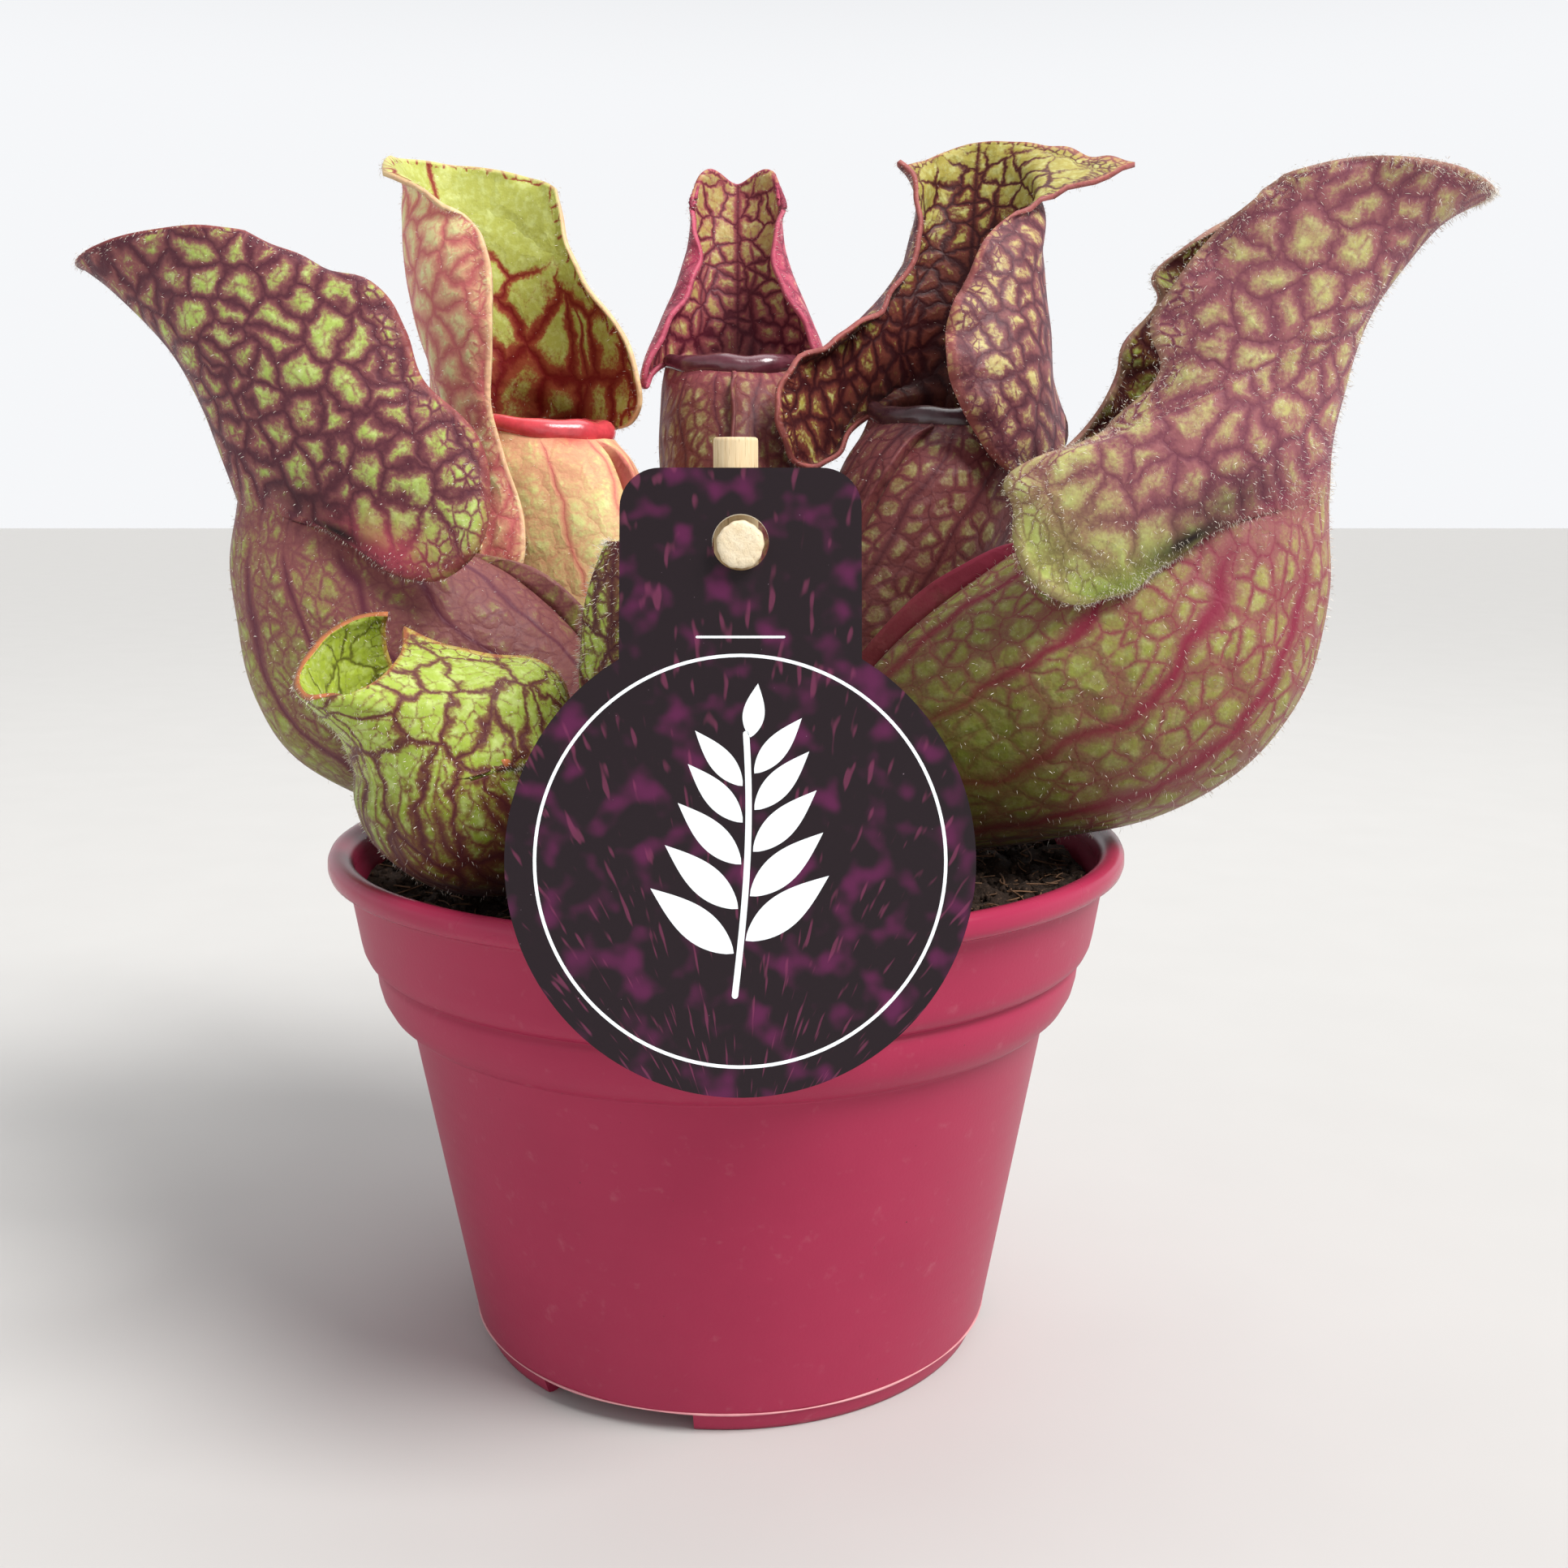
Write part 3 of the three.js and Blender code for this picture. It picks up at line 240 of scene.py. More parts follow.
# The leaves. A leaf's own frame is (out, up, side): out from the crown along its azimuth, up, and to its left
# as it is seen from the crown. A ring of the tube is [out and up of its back, out and up of its front, half
# width, side of its middle]. A hood rises from the back of the mouth along its spine, and each half of it
# spreads from there to its edge, a free margin that starts at the corner of the mouth. start is the sideways
# pull of a row's curve at the spine, and pull the offset of its last handle from the edge. wing is the width
# of the wing down the front, and twist how far the leaf is turned at its mouth, in degrees. A leaf without a
# right half has the left one on both sides.
HINGE = math.radians(106)  # how far round from the back of the mouth its corners are
LEAVES = [
    {
        "name": "pitcher_right",
        "azimuth": -2,
        "wing": 3.5,
        "rings": [
            [12.4, 67.6, 9.4, 70.8, 2.4], [16, 69.6, 11, 74.5, 3.4], [25, 73, 13.5, 86, 6],
            [38, 75.6, 18, 97, 10.5], [52, 77.6, 25, 105.5, 15], [66, 81.6, 32, 112, 18],
            [78, 89, 38.5, 116.5, 19], [86, 101, 44, 120, 18], [88.7, 115, 48, 121.5, 15.5],
            [88, 128, 51, 122.5, 13.5],
        ],
        "spine": [[88, 135], [89, 142], [91, 150], [94.5, 158], [101, 166], [109, 170.5]],
        "left": {
            "edge": [
                [61, 121, 15], [56, 118.5, 16], [49.5, 119.5, 15.5], [47.5, 126.5, 13.5], [53, 137, 12],
                [59.5, 147.5, 11], [63, 158, 11.5], [69.5, 166, 12], [78, 170.5, 13],
            ],
            "start": [11, 12, 13, 11, 8],
            "pull": [[15, 8.5, 0.7], [16, 5, 4], [14, 3, 5.5], [12, 3, 4], [15, 6, 2]],
        },
        "right": {
            "edge": [
                [61, 120.3, 15.5], [56, 116, 17.3], [49.5, 113.8, 18], [43, 117.5, 17.8],
                [40.5, 125.5, 16.5], [43, 132.5, 15], [51.5, 136, 13.5], [57.5, 141.5, 13],
                [60.5, 152.5, 13.5], [67.5, 164, 14], [76, 171, 14.5],
            ],
            "start": [12, 14, 14, 12, 9],
            "pull": [
                [14.5, 9.5, -0.5], [16.5, 14, 1.5], [16, 4, 6.5], [13, 2, 6], [12, 3, 4], [14, 5, 3],
                [16, 6, 2],
            ],
        },
    },
    {
        "name": "pitcher_left",
        "azimuth": 179,
        "wing": 3.5,
        "rings": [
            [12.4, 67.6, 9.4, 70.8, 2.4], [16, 69.6, 11, 74.5, 3.4], [24.5, 73.6, 13.5, 84.5, 5.8],
            [37, 77.4, 17, 96.5, 9.5], [51.5, 81.4, 22, 106, 13.2], [64.5, 88.6, 27, 112, 15.8],
            [71, 97.8, 32, 116, 16], [73.3, 108.5, 37, 118.5, 15], [74, 118.5, 41, 120, 13.8],
            [72.2, 128, 43, 121, 12.5],
        ],
        "spine": [[74, 134], [77, 141.5], [80, 148], [84.5, 153.8], [89.5, 158.7], [94.5, 162]],
        "left": {
            "edge": [
                [50.5, 121.5, 14.5], [46, 118, 16.5], [39.5, 117, 17.8], [34, 121, 18], [32, 128, 17.5],
                [33.5, 136.5, 16.3], [41, 144, 15.3], [43.5, 151, 14.5], [47, 156.5, 14], [56, 160, 13],
                [66, 164.5, 12],
            ],
            "start": [11, 13, 13, 11, 7],
            "pull": [[12.7, 9, -0.7], [16, 10.5, 2], [15, 2, 5.5], [13, 2, 5], [12, 4, 3], [12, 3, 2]],
        },
        "right": {
            "edge": [
                [51, 122, 13.5], [46, 119.5, 13.5], [42, 124, 12.2], [42.5, 133, 11.2], [48.5, 143.5, 10.5],
                [54, 153, 10.5], [61, 158, 10.5], [70, 163, 10.5],
            ],
            "start": [10, 11, 11, 9, 6],
            "pull": [[12, 6.7, 0.5], [13, 4, 3.5], [11, 2, 5], [11, 3, 3], [11, 3, 2]],
        },
    },
    {
        "name": "pitcher_rear_left",
        "azimuth": 131,
        "twist": 12,
        "wing": 3,
        "rings": [
            [12.4, 67.6, 9.4, 70.8, 2.4], [16, 70, 11, 75, 3.4], [24, 75.5, 13.5, 87, 5.6],
            [35.5, 81.5, 17.5, 100, 8.5], [48, 89.5, 22, 112, 11.5], [58.5, 99.5, 26, 121.5, 13.6],
            [66, 110.5, 30, 129, 14.6], [70, 122, 34, 134, 14.6], [71.5, 133, 38, 136.5, 13.6],
            [70, 143, 40.5, 138, 12.4],
        ],
        "spine": [[70, 150], [71, 158.5], [72.5, 167.5], [75, 176.5], [78, 185.5]],
        "left": {
            "edge": [
                [49, 136, 17.5], [46, 126, 21], [41, 117, 21.5], [36.5, 117, 20], [37, 124, 18.5],
                [41, 134, 18.5], [43.5, 143, 18.5], [43.3, 156, 18], [45, 166, 17], [50, 172, 17],
                [65.5, 180, 20],
            ],
            "start": [12, 16, 18, 17, 10],
            "pull": [[8, 6, 4], [8, 4, 4], [8, 2, 4], [8, 1, 5], [5, 3, -4]],
        },
        "right": {
            "edge": [
                [47, 139.3, 13], [41.5, 140.5, 12], [38.5, 145, 11.5], [40, 151, 11.5], [45, 158.5, 11.2],
                [51, 165, 10.8], [56, 172, 12], [59.5, 181, 13.5],
            ],
            "start": [9, 10, 9, 7],
            "pull": [[8, 0, 3], [9, 0, 4], [8, 1, 3], [6, 1, 2], [6, 4, 0]],
        },
    },
    {
        "name": "pitcher_rear_centre",
        "azimuth": 90,
        "wing": 2.5,
        "rings": [
            [12.4, 67.6, 9.4, 70.8, 2.4], [15.5, 70.6, 10.6, 75.6, 3.2], [22, 77.5, 13, 88.5, 5],
            [32, 85, 17, 103.5, 7.2], [43, 95, 21.5, 118, 9.6], [52, 107, 26.5, 131, 11.6],
            [58.5, 119.5, 31.5, 140, 12.8], [62.5, 131.5, 35.5, 145, 13.2], [65, 143, 38.5, 148, 12.8],
            [65, 153, 41, 149.5, 12],
        ],
        "spine": [[65.8, 160], [67.4, 168.5], [69.8, 177], [73, 184.4]],
        "left": {
            "edge": [
                [47.5, 148.8, 14.6], [44, 146.8, 15.4], [43, 150, 14.6], [45.5, 156, 12], [50, 163, 8.5],
                [54.5, 169, 6.6], [58.5, 174.5, 7], [63, 179.5, 8], [67, 183.2, 7.8],
            ],
            "start": [9, 9, 7, 3],
            "pull": [[7, 0, 3], [8, 0, 4], [6, 1, 5], [4, 1, 2], [2, 7.3, -2.5]],
        },
    },
    {
        "name": "pitcher_rear_right",
        "azimuth": 47.2,
        "twist": 27,
        "wing": 3,
        "rings": [
            [12.4, 67.6, 9.4, 70.8, 2.4], [16, 70, 11, 75, 3.4], [24, 75.5, 13.5, 87, 5.6],
            [35, 82, 17.5, 100.5, 8.6], [47.5, 90, 21.5, 113, 11.8], [57.5, 100.5, 26, 123, 14.4],
            [65, 112, 30, 131, 16], [69, 123.5, 34, 136, 16.2], [70.5, 135, 38, 139, 14.8],
            [69, 146, 41, 140, 13.3],
        ],
        "spine": [[69.5, 155.5], [70.8, 165], [72.8, 175], [75, 183], [77, 190]],
        "left": {
            "edge": [
                [49, 139, 17], [43, 134, 19], [36, 134, 22.5], [33.5, 141, 25.5], [37.5, 149, 23.5],
                [45, 155.5, 16], [51.5, 161.5, 9.5], [55.5, 169, 6.5], [58.5, 177, 7], [62, 185, 11],
            ],
            "start": [12, 12, 12, 10, 5],
            "pull": [[8, 0, 2], [9, 0, -4], [9, 0, -3], [6, 1, 4], [5, -2, 0]],
        },
        "right": {
            "edge": [
                [48.5, 139.5, 16.5], [42, 133, 16.5], [36, 132.5, 12], [32.5, 138.5, 7.5], [31.5, 147, 3.5],
                [35, 155, 2.5], [41, 162.5, 4.5], [51.5, 173, 9], [71, 184, 28],
            ],
            "start": [12, 15, 17, 16, 12],
            "pull": [[10, 1, 8], [7, 3, 14], [5, 3, 19], [6, 2, 17], [7, 1, 12], [4, 2, -10]],
        },
    },
    {
        "name": "pitcher_front_left",
        "azimuth": 222,
        "wing": 1.5,
        "rings": [
            [12.4, 67.6, 9.4, 70.8, 2.4], [17, 69.8, 11, 75, 3.4], [28, 72.8, 17, 80.5, 6],
            [41, 74.6, 25, 87.5, 9.6], [51, 77.2, 32, 92, 12.4], [57.5, 82, 37, 94.5, 14],
            [60, 87.5, 40, 96, 14.3], [59.8, 92.5, 42, 97, 14.2],
        ],
        "spine": [[61.5, 97.5], [64.5, 101], [68, 104.4]],
        "left": {
            "edge": [
                [44, 95, 13.5], [39, 96, 13], [36.5, 99, 10.5], [36, 104, 8], [39.5, 107.5, 5.5],
                [45, 108.3, 2], [52.5, 111.5, -4],
            ],
            "start": [10, 11, 9, 8],
            "pull": [[10, 2, 3.5], [12, 1, 6.5], [9, -1, 9], [6, -4, 10], [5, -6, 10]],
        },
        "right": {
            "edge": [
                [46, 95, 14], [45, 98, 15], [47, 103, 15.5], [49, 107.5, 15], [50, 111, 13.5],
                [50.5, 113, 11.5],
            ],
            "start": [11, 11, 11, 10],
            "pull": [[8, -2, 4], [8, -3, 2], [8, 0, 5]],
        },
    },
    {
        "name": "pitcher_front_small",
        "azimuth": 256,
        "wing": 1,
        "rings": [
            [12.4, 67.8, 9.6, 70.6, 2.1], [17, 71.4, 11.5, 75.8, 2.8, -0.3],
            [24, 76.5, 15.5, 83, 4.2, -0.8], [31, 83.5, 19, 90.5, 5.6, -1.9], [36, 92, 22, 97, 6.4, -3],
            [38.5, 100, 25, 102.5, 6.6, -3.8], [39, 106.5, 27.5, 106.5, 6, -4.3],
        ],
        "spine": [[39, 112, -4.3], [38.2, 117.5, -4.4], [37, 123, -4.2]],
        "left": {
            "edge": [[29.5, 107.5, 1.4], [29, 111.5, -0.2], [31, 117, -2], [34.5, 122.5, -3.5]],
            "start": [4.5, 4, 1.5],
            "pull": [[4, 0, 2], [4, 0, 3], [3, 0, 2], [1, 0, 0.8]],
        },
        "right": {
            "edge": [[29.5, 107.5, 9.8], [29, 111.5, 8.8], [31, 117, 7], [34.5, 122.5, 5]],
            "start": [4.5, 4, 1.5],
            "pull": [[4, 0, 2], [4, 0, 3], [3, 0, 2], [1, 0, 0.8]],
        },
    },
]


def along(points, share):
    """A smooth curve through points of any dimension, read at an array of shares of its length."""
    points = np.asarray(points, float)
    share = np.asarray(share, float)
    padded = np.vstack([2 * points[0] - points[1], points, 2 * points[-1] - points[-2]])
    at = np.clip(share, 0, 1) * (len(points) - 1)
    span = np.minimum(at.astype(int), len(points) - 2)
    t = (at - span)[..., None]
    a, b, c, d = (padded[span + k] for k in range(4))
    bend = 2 * a - 5 * b + 4 * c - d
    turn = 3 * b - a - 3 * c + d
    return 0.5 * (2 * b + (c - a) * t + bend * t * t + turn * t * t * t)


def bezier(a, b, c, d, t):
    s = 1 - t
    return a * s**3 + 3 * b * s * s * t + 3 * c * s * t * t + d * t**3


def ring_table(leaf):
    return np.array([ring if len(ring) == 6 else [*ring, 0] for ring in leaf["rings"]], float)


def ring_point(ring, turn):
    towards_back = (1 + np.cos(turn)) / 2
    out = ring[..., 2] + (ring[..., 0] - ring[..., 2]) * towards_back
    up = ring[..., 3] + (ring[..., 1] - ring[..., 3]) * towards_back
    return np.stack([out, up, ring[..., 5] + ring[..., 4] * np.sin(turn)], axis=-1)


def hood_point(leaf, rise, across):
    """rise runs from 0 at the mouth to 1 at the top, across from -1 at the right edge to 1 at the left."""
    mouth = ring_table(leaf)[-1]
    reach = (4 / 3) * math.tan(HINGE / 4)
    mouth_pull = [
        reach * math.sin(HINGE) * (mouth[0] - mouth[2]) / 2,
        reach * math.sin(HINGE) * (mouth[1] - mouth[3]) / 2,
        -reach * math.cos(HINGE) * mouth[4],
    ]
    spine = [p if len(p) == 3 else [*p, 0] for p in leaf["spine"]]
    spine = along([[mouth[0], mouth[1], mouth[5]], *spine], rise)
    t = np.abs(across)
    sides = []
    for half, way in ((leaf["left"], 1), (leaf.get("right", leaf["left"]), -1)):
        corner = ring_point(mouth, np.array(HINGE))
        corner[2] = mouth[4] * math.sin(HINGE) + way * mouth[5]
        edge = along([corner, *half["edge"]], rise)
        handle = edge + along([mouth_pull, *half["pull"]], rise)
        start = along([[reach * mouth[4]], *[[value] for value in half["start"]]], rise)[..., 0]
        out, up = (bezier(spine[..., k], spine[..., k], handle[..., k], edge[..., k], t) for k in (0, 1))
        side = bezier(spine[..., 2], spine[..., 2] + way * start, way * handle[..., 2], way * edge[..., 2], t)
        sides.append(np.stack([out, up, side], axis=-1))
    return np.where((across < 0)[..., None], sides[1], sides[0])


def turned(x, y, angle):
    return x * np.cos(angle) - y * np.sin(angle), x * np.sin(angle) + y * np.cos(angle)


def placed(leaf, row, point):
    """From the leaf's own frame to the pot's. The leaf twists round the middle of each ring."""
    rings = ring_table(leaf)
    last = len(rings) - 1
    share = np.minimum(row, last) / last
    middle = along(((rings[:, 0] + rings[:, 2]) / 2)[:, None], share)[..., 0]
    twist = math.radians(leaf.get("twist", 0)) * smooth_step(0, 1, share)
    out, side = turned(point[..., 0] - middle, point[..., 2], twist)
    x, y = turned(middle + out, side, math.radians(leaf["azimuth"]))
    return np.stack([x, y, point[..., 1]], axis=-1)


BACK = 81  # columns of the hood, and of the tube under it
FRONT = 39  # columns round the front of the tube, with one in its middle
COLUMNS = BACK + FRONT
TUBE_ROWS = 84
HOOD_ROWS = 92
HOOD_FIRST = TUBE_ROWS * COLUMNS  # the hood's first point
COARSE = 3  # the flat places are worked out on every third row and column
DRAWN_OUT = 1.5  # how much longer than wide the areoles of a tube are


def leaf_surface(leaf):
    """A leaf's middle surface, one sheet from stalk to hood, with each point's angle and height and its flat
    place. The angle runs from -pi to pi with its seam at the front, and the height from 0 at the stalk over 1
    at the mouth to 2 at the top."""
    rings = ring_table(leaf)
    last = len(rings) - 1
    across = np.linspace(-1, 1, BACK)
    front = np.linspace(HINGE, ROUND - HINGE, FRONT + 2)[1:-1]
    turns = np.concatenate([HINGE * across, front])
    rows = np.linspace(0, last, TUBE_ROWS)
    ring = along(rings, rows / last)
    tube = placed(leaf, rows[:, None] + 0 * turns, ring_point(ring[:, None, :], turns[None, :]))
    rise = np.linspace(0, 1, HOOD_ROWS + 1)[1:]
    rises, acrosses = np.meshgrid(rise, across, indexing="ij")
    hood = placed(leaf, np.full(rises.shape, float(last)), hood_point(leaf, rises, acrosses))

    points = np.vstack([tube.reshape(-1, 3), hood.reshape(-1, 3)])
    faces = grid_faces(TUBE_ROWS, COLUMNS, True)
    top = HOOD_FIRST - COLUMNS
    faces += [(top + i, top + i + 1, HOOD_FIRST + i + 1, HOOD_FIRST + i) for i in range(BACK - 1)]
    faces += grid_faces(HOOD_ROWS, BACK, False, HOOD_FIRST)
    wrapped = np.where(turns > math.pi + 1e-9, turns - ROUND, turns)
    angle = np.concatenate([np.tile(wrapped, TUBE_ROWS), np.tile(HINGE * across, HOOD_ROWS)])
    height = np.concatenate([np.repeat(rows / last, COLUMNS), np.repeat(1 + rise, BACK)])

    order = np.r_[COLUMNS - FRONT // 2 - 1 : COLUMNS, 0 : COLUMNS - FRONT // 2]
    width = len(order)
    side = (width - BACK) // 2
    whole = np.zeros((TUBE_ROWS + HOOD_ROWS, width, 3))
    whole[:TUBE_ROWS] = tube[:, order]
    whole[TUBE_ROWS:, side : side + BACK] = hood
    known = np.zeros(whole.shape[:2], bool)
    known[:TUBE_ROWS] = True
    known[TUBE_ROWS:, side : side + BACK] = True
    some_rows = np.unique(np.r_[0 : len(whole) : COARSE, TUBE_ROWS - 1, len(whole) - 1])
    some_columns = np.unique(np.r_[0:width:COARSE, side, side + BACK - 1, width - 1])
    some = np.ix_(some_rows, some_columns)
    small = flattened(whole[some], known[some])
    flat = np.zeros((*known.shape, 2))
    for k in range(2):
        by_row = np.array([np.interp(np.arange(width), some_columns, row) for row in small[..., k]])
        for column in range(width):
            flat[:, column, k] = np.interp(np.arange(len(whole)), some_rows, by_row[:, column])
    lengths = flat[..., 1] - flat[TUBE_ROWS - 1, width // 2, 1]
    flat[..., 1] = np.where(lengths < 0, lengths / DRAWN_OUT, lengths)
    return points, faces, angle, height, flat


def vertex_normals(points, faces):
    quads = np.array(faces)
    one, two, three, four = (points[quads[:, k]] for k in range(4))
    normal = np.cross(three - one, four - two)
    total = np.zeros_like(points)
    for k in range(4):
        np.add.at(total, quads[:, k], normal)
    return unit(total)


def flattened(points, known, steps=900):
    """Rolls a curved grid out flat with little stretch, where known marks its real points: the sides and
    diagonals of the flat grid are pulled towards their true lengths, again and again."""
    width = points.shape[1]
    across = np.linalg.norm(np.diff(points, axis=1), axis=2)
    u = np.concatenate([np.zeros((len(points), 1)), np.cumsum(across, axis=1)], axis=1)
    u -= u[:, width // 2][:, None]
    up = np.where(known[1:], np.linalg.norm(np.diff(points, axis=0), axis=2), 0)
    up = up.sum(axis=1) / known[1:].sum(axis=1)
    v = np.repeat(np.concatenate([[0], np.cumsum(up)])[:, None], width, axis=1)
    flat = np.stack([u, v], axis=-1)
    links = []
    for down, side in ((0, 1), (1, 0), (1, 1), (1, -1)):
        one = np.s_[: len(points) - down, max(-side, 0) : width - max(side, 0)]
        two = np.s_[down:, max(side, 0) : width - max(-side, 0)]
        length = np.linalg.norm(points[two] - points[one], axis=2)
        links.append((one, two, length, (known[one] & known[two]) * 0.16))
    for _ in range(steps):
        move = np.zeros_like(flat)
        for one, two, length, share in links:
            gap = flat[two] - flat[one]
            now = np.maximum(np.linalg.norm(gap, axis=2), 1e-6)
            pull = gap * (share * (now - length) / now)[..., None]
            move[one] += pull
            move[two] -= pull
        flat += move
    return flat


def girth(points):
    """Millimetres across for one radian round the leaf, at each point."""
    tube = points[:HOOD_FIRST].reshape(TUBE_ROWS, COLUMNS, 3)
    hood = points[HOOD_FIRST:].reshape(HOOD_ROWS, BACK, 3)
    step = 2 * HINGE / (BACK - 1)
    round_tube = np.linalg.norm(tube - np.roll(tube, 1, axis=1), axis=2) / step
    round_hood = np.linalg.norm(np.gradient(hood, axis=1), axis=2) / step
    return np.concatenate([round_tube.ravel(), round_hood.ravel()])


def nearness(spots, height, angle):
    """For each spot of (height, across, value, reach), across being 1 at the left margin: how near it each
    point is, and its value."""
    across = angle / HINGE
    for at_height, at_across, value, reach in spots:
        away = ((height - at_height) / reach) ** 2 + ((across - at_across) / (reach * 1.6)) ** 2
        yield np.exp(-away), value


def blended(spots, height, angle):
    """A value over the whole leaf, blended between spots."""
    total = np.zeros(len(height))
    weight = np.full(len(height), 1e-6)
    for near, value in nearness(spots, height, angle):
        total += near * value
        weight += near
    return total / weight


def highest(spots, height, angle):
    """Soft round patches."""
    total = np.zeros(len(height))
    for near, value in nearness(spots, height, angle):
        total = np.maximum(total, near * value)
    return total


def set_values(mesh, values):
    count = len(mesh.vertices)
    for name, value in values.items():
        layer = mesh.attributes.new(name, "FLOAT", "POINT")
        layer.data.foreach_set("value", np.full(count, value) if np.isscalar(value) else value)


def set_places(mesh, name, places):
    """A UV map from one place for each corner of each face."""
    mesh.uv_layers.new(name=name).data.foreach_set("uv", np.asarray(places, float).ravel())


def make_leaf(leaf, materials, hair):
    look = look_of(leaf)
    points, faces, angle, height, flat = leaf_surface(leaf)
    normals = vertex_normals(points, faces)
    # closeness to the free margin of the hood
    margin_share = np.where(height > 1, np.maximum(np.abs(angle) / HINGE, smooth_step(1.9, 2.0, height)), 0)
    near_margin = smooth_step(0.78, 1.0, margin_share)
    ripple = wobble(points, look["ripple_size"], 11 + len(leaf["name"])) * near_margin * look["ripple"]
    swell = wobble(points, 16, 5) * 0.25 * smooth_step(0.1, 0.4, height)
    moved = points + normals * (ripple + swell)[:, None]
    # lobes in the plane of the hood, above its ears
    outward = unit(np.gradient(points[HOOD_FIRST:].reshape(HOOD_ROWS, BACK, 3), axis=1).reshape(-1, 3))
    outward *= np.sign(angle[HOOD_FIRST:])[:, None]
    rise = height[HOOD_FIRST:]
    run = ROUND * look["lobes"] * (rise - 1)
    lobe = near_margin[HOOD_FIRST:] * (np.sin(run + 1) + 0.5 * np.sin(1.7 * run)) * look["lobe_size"]
    lobe *= smooth_step(1.42, 1.55, rise) * smooth_step(2.0, 1.93, rise)
    moved[HOOD_FIRST:] += outward * lobe[:, None]

    piece = mesh_object(leaf["name"] + "_leaf", moved, faces, materials)
    values = {
        "flush": blended(look["flush"], height, angle),
        "inner_flush": blended(look["inner_flush"], height, angle),
        "stain": highest(look["stain"], height, angle),
        # painted shade in the pit beside the corner of the mouth
        "pit_shade": highest(look["pit_shade"], height, angle),
        "margin": near_margin,
        "rise": height,
        "turn": angle,
        "girth": girth(points),
    }
    set_values(piece.data, values)

    # the flat places as a UV map with its seam down the front of the tube
    width = flat.shape[1]
    side = (width - BACK) // 2
    index = np.arange(len(points))
    in_tube = index < HOOD_FIRST
    row = np.where(in_tube, index // COLUMNS, TUBE_ROWS + (index - HOOD_FIRST) // BACK)
    column = np.where(in_tube, index % COLUMNS, (index - HOOD_FIRST) % BACK)
    place = np.where(column < BACK + (FRONT + 1) // 2, column + side, column - COLUMNS + side)
    quads = np.array(faces)
    corners = place[quads]
    seam = corners.max(axis=1) - corners.min(axis=1) > BACK
    corners[seam] = np.where(corners[seam] == width - 1, 0, corners[seam])
    set_places(piece.data, "cells", flat[row[quads.ravel()], corners.ravel()])

    solidify = piece.modifiers.new("thickness", "SOLIDIFY")
    solidify.thickness = LEAF_THICKNESS * MM
    solidify.offset = 0
    solidify.material_offset = 1
    solidify.material_offset_rim = 2
    solidify.use_quality_normals = False
    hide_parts(leaf["name"])
    make_hairs(leaf, moved, normals, height, near_margin, hair)


# How each leaf is coloured. hood and tube are the colours of an areole, of the blush round a vein and of the
# vein, and inner the same inside the leaf. flush is how far the blush has spread over the areoles, stain
# where another colour shows, and pit_shade the painted shade in the pit beside the mouth, each as spots of
# (height, across, value, reach). net is the main net's cell size and the reach of its blush, both in
# millimetres, and the weight of the net that splits it. weights are the main net's and its round blush's, and
# belly the two nets' weights on the tube. inner_net and inner_flush take their place inside the leaf.
PLAIN_LOOK = {
    "lip_size": 1.3,
    "weights": (1.0, 0.6),
    "split": 0.42,  # cell size of the splitting net, as a share of the main one's
    "soft": (0.14, 0.62),  # where areole turns to blush on the hood
    "inner_fade": (1.9, 2.1),
    "inner_draw": 1.0,
    "inner_long": 9,
    "long": 12,  # number of long veins round the tube
    "long_reach": 2.0,
    "long_weight": 0.9,
    "belly_flush": 0.0,
    "throat_shade": 1.05,  # height at which painted shade starts to darken the throat
    "painted_shade_top": 0.9,  # painted shade darkens the leaf below this height
    # how strong the painted shade is at the stalk, and its colour
    "painted_shade_low": 0.6,
    "painted_shade_color": "2c1a0c",
    "ripple": 0.5,
    "ripple_size": 9,
    "lobes": 0,
    "lobe_size": 0,
    "stain": [],
    "pit_shade": [],
    "hair_length": 0.5,
}
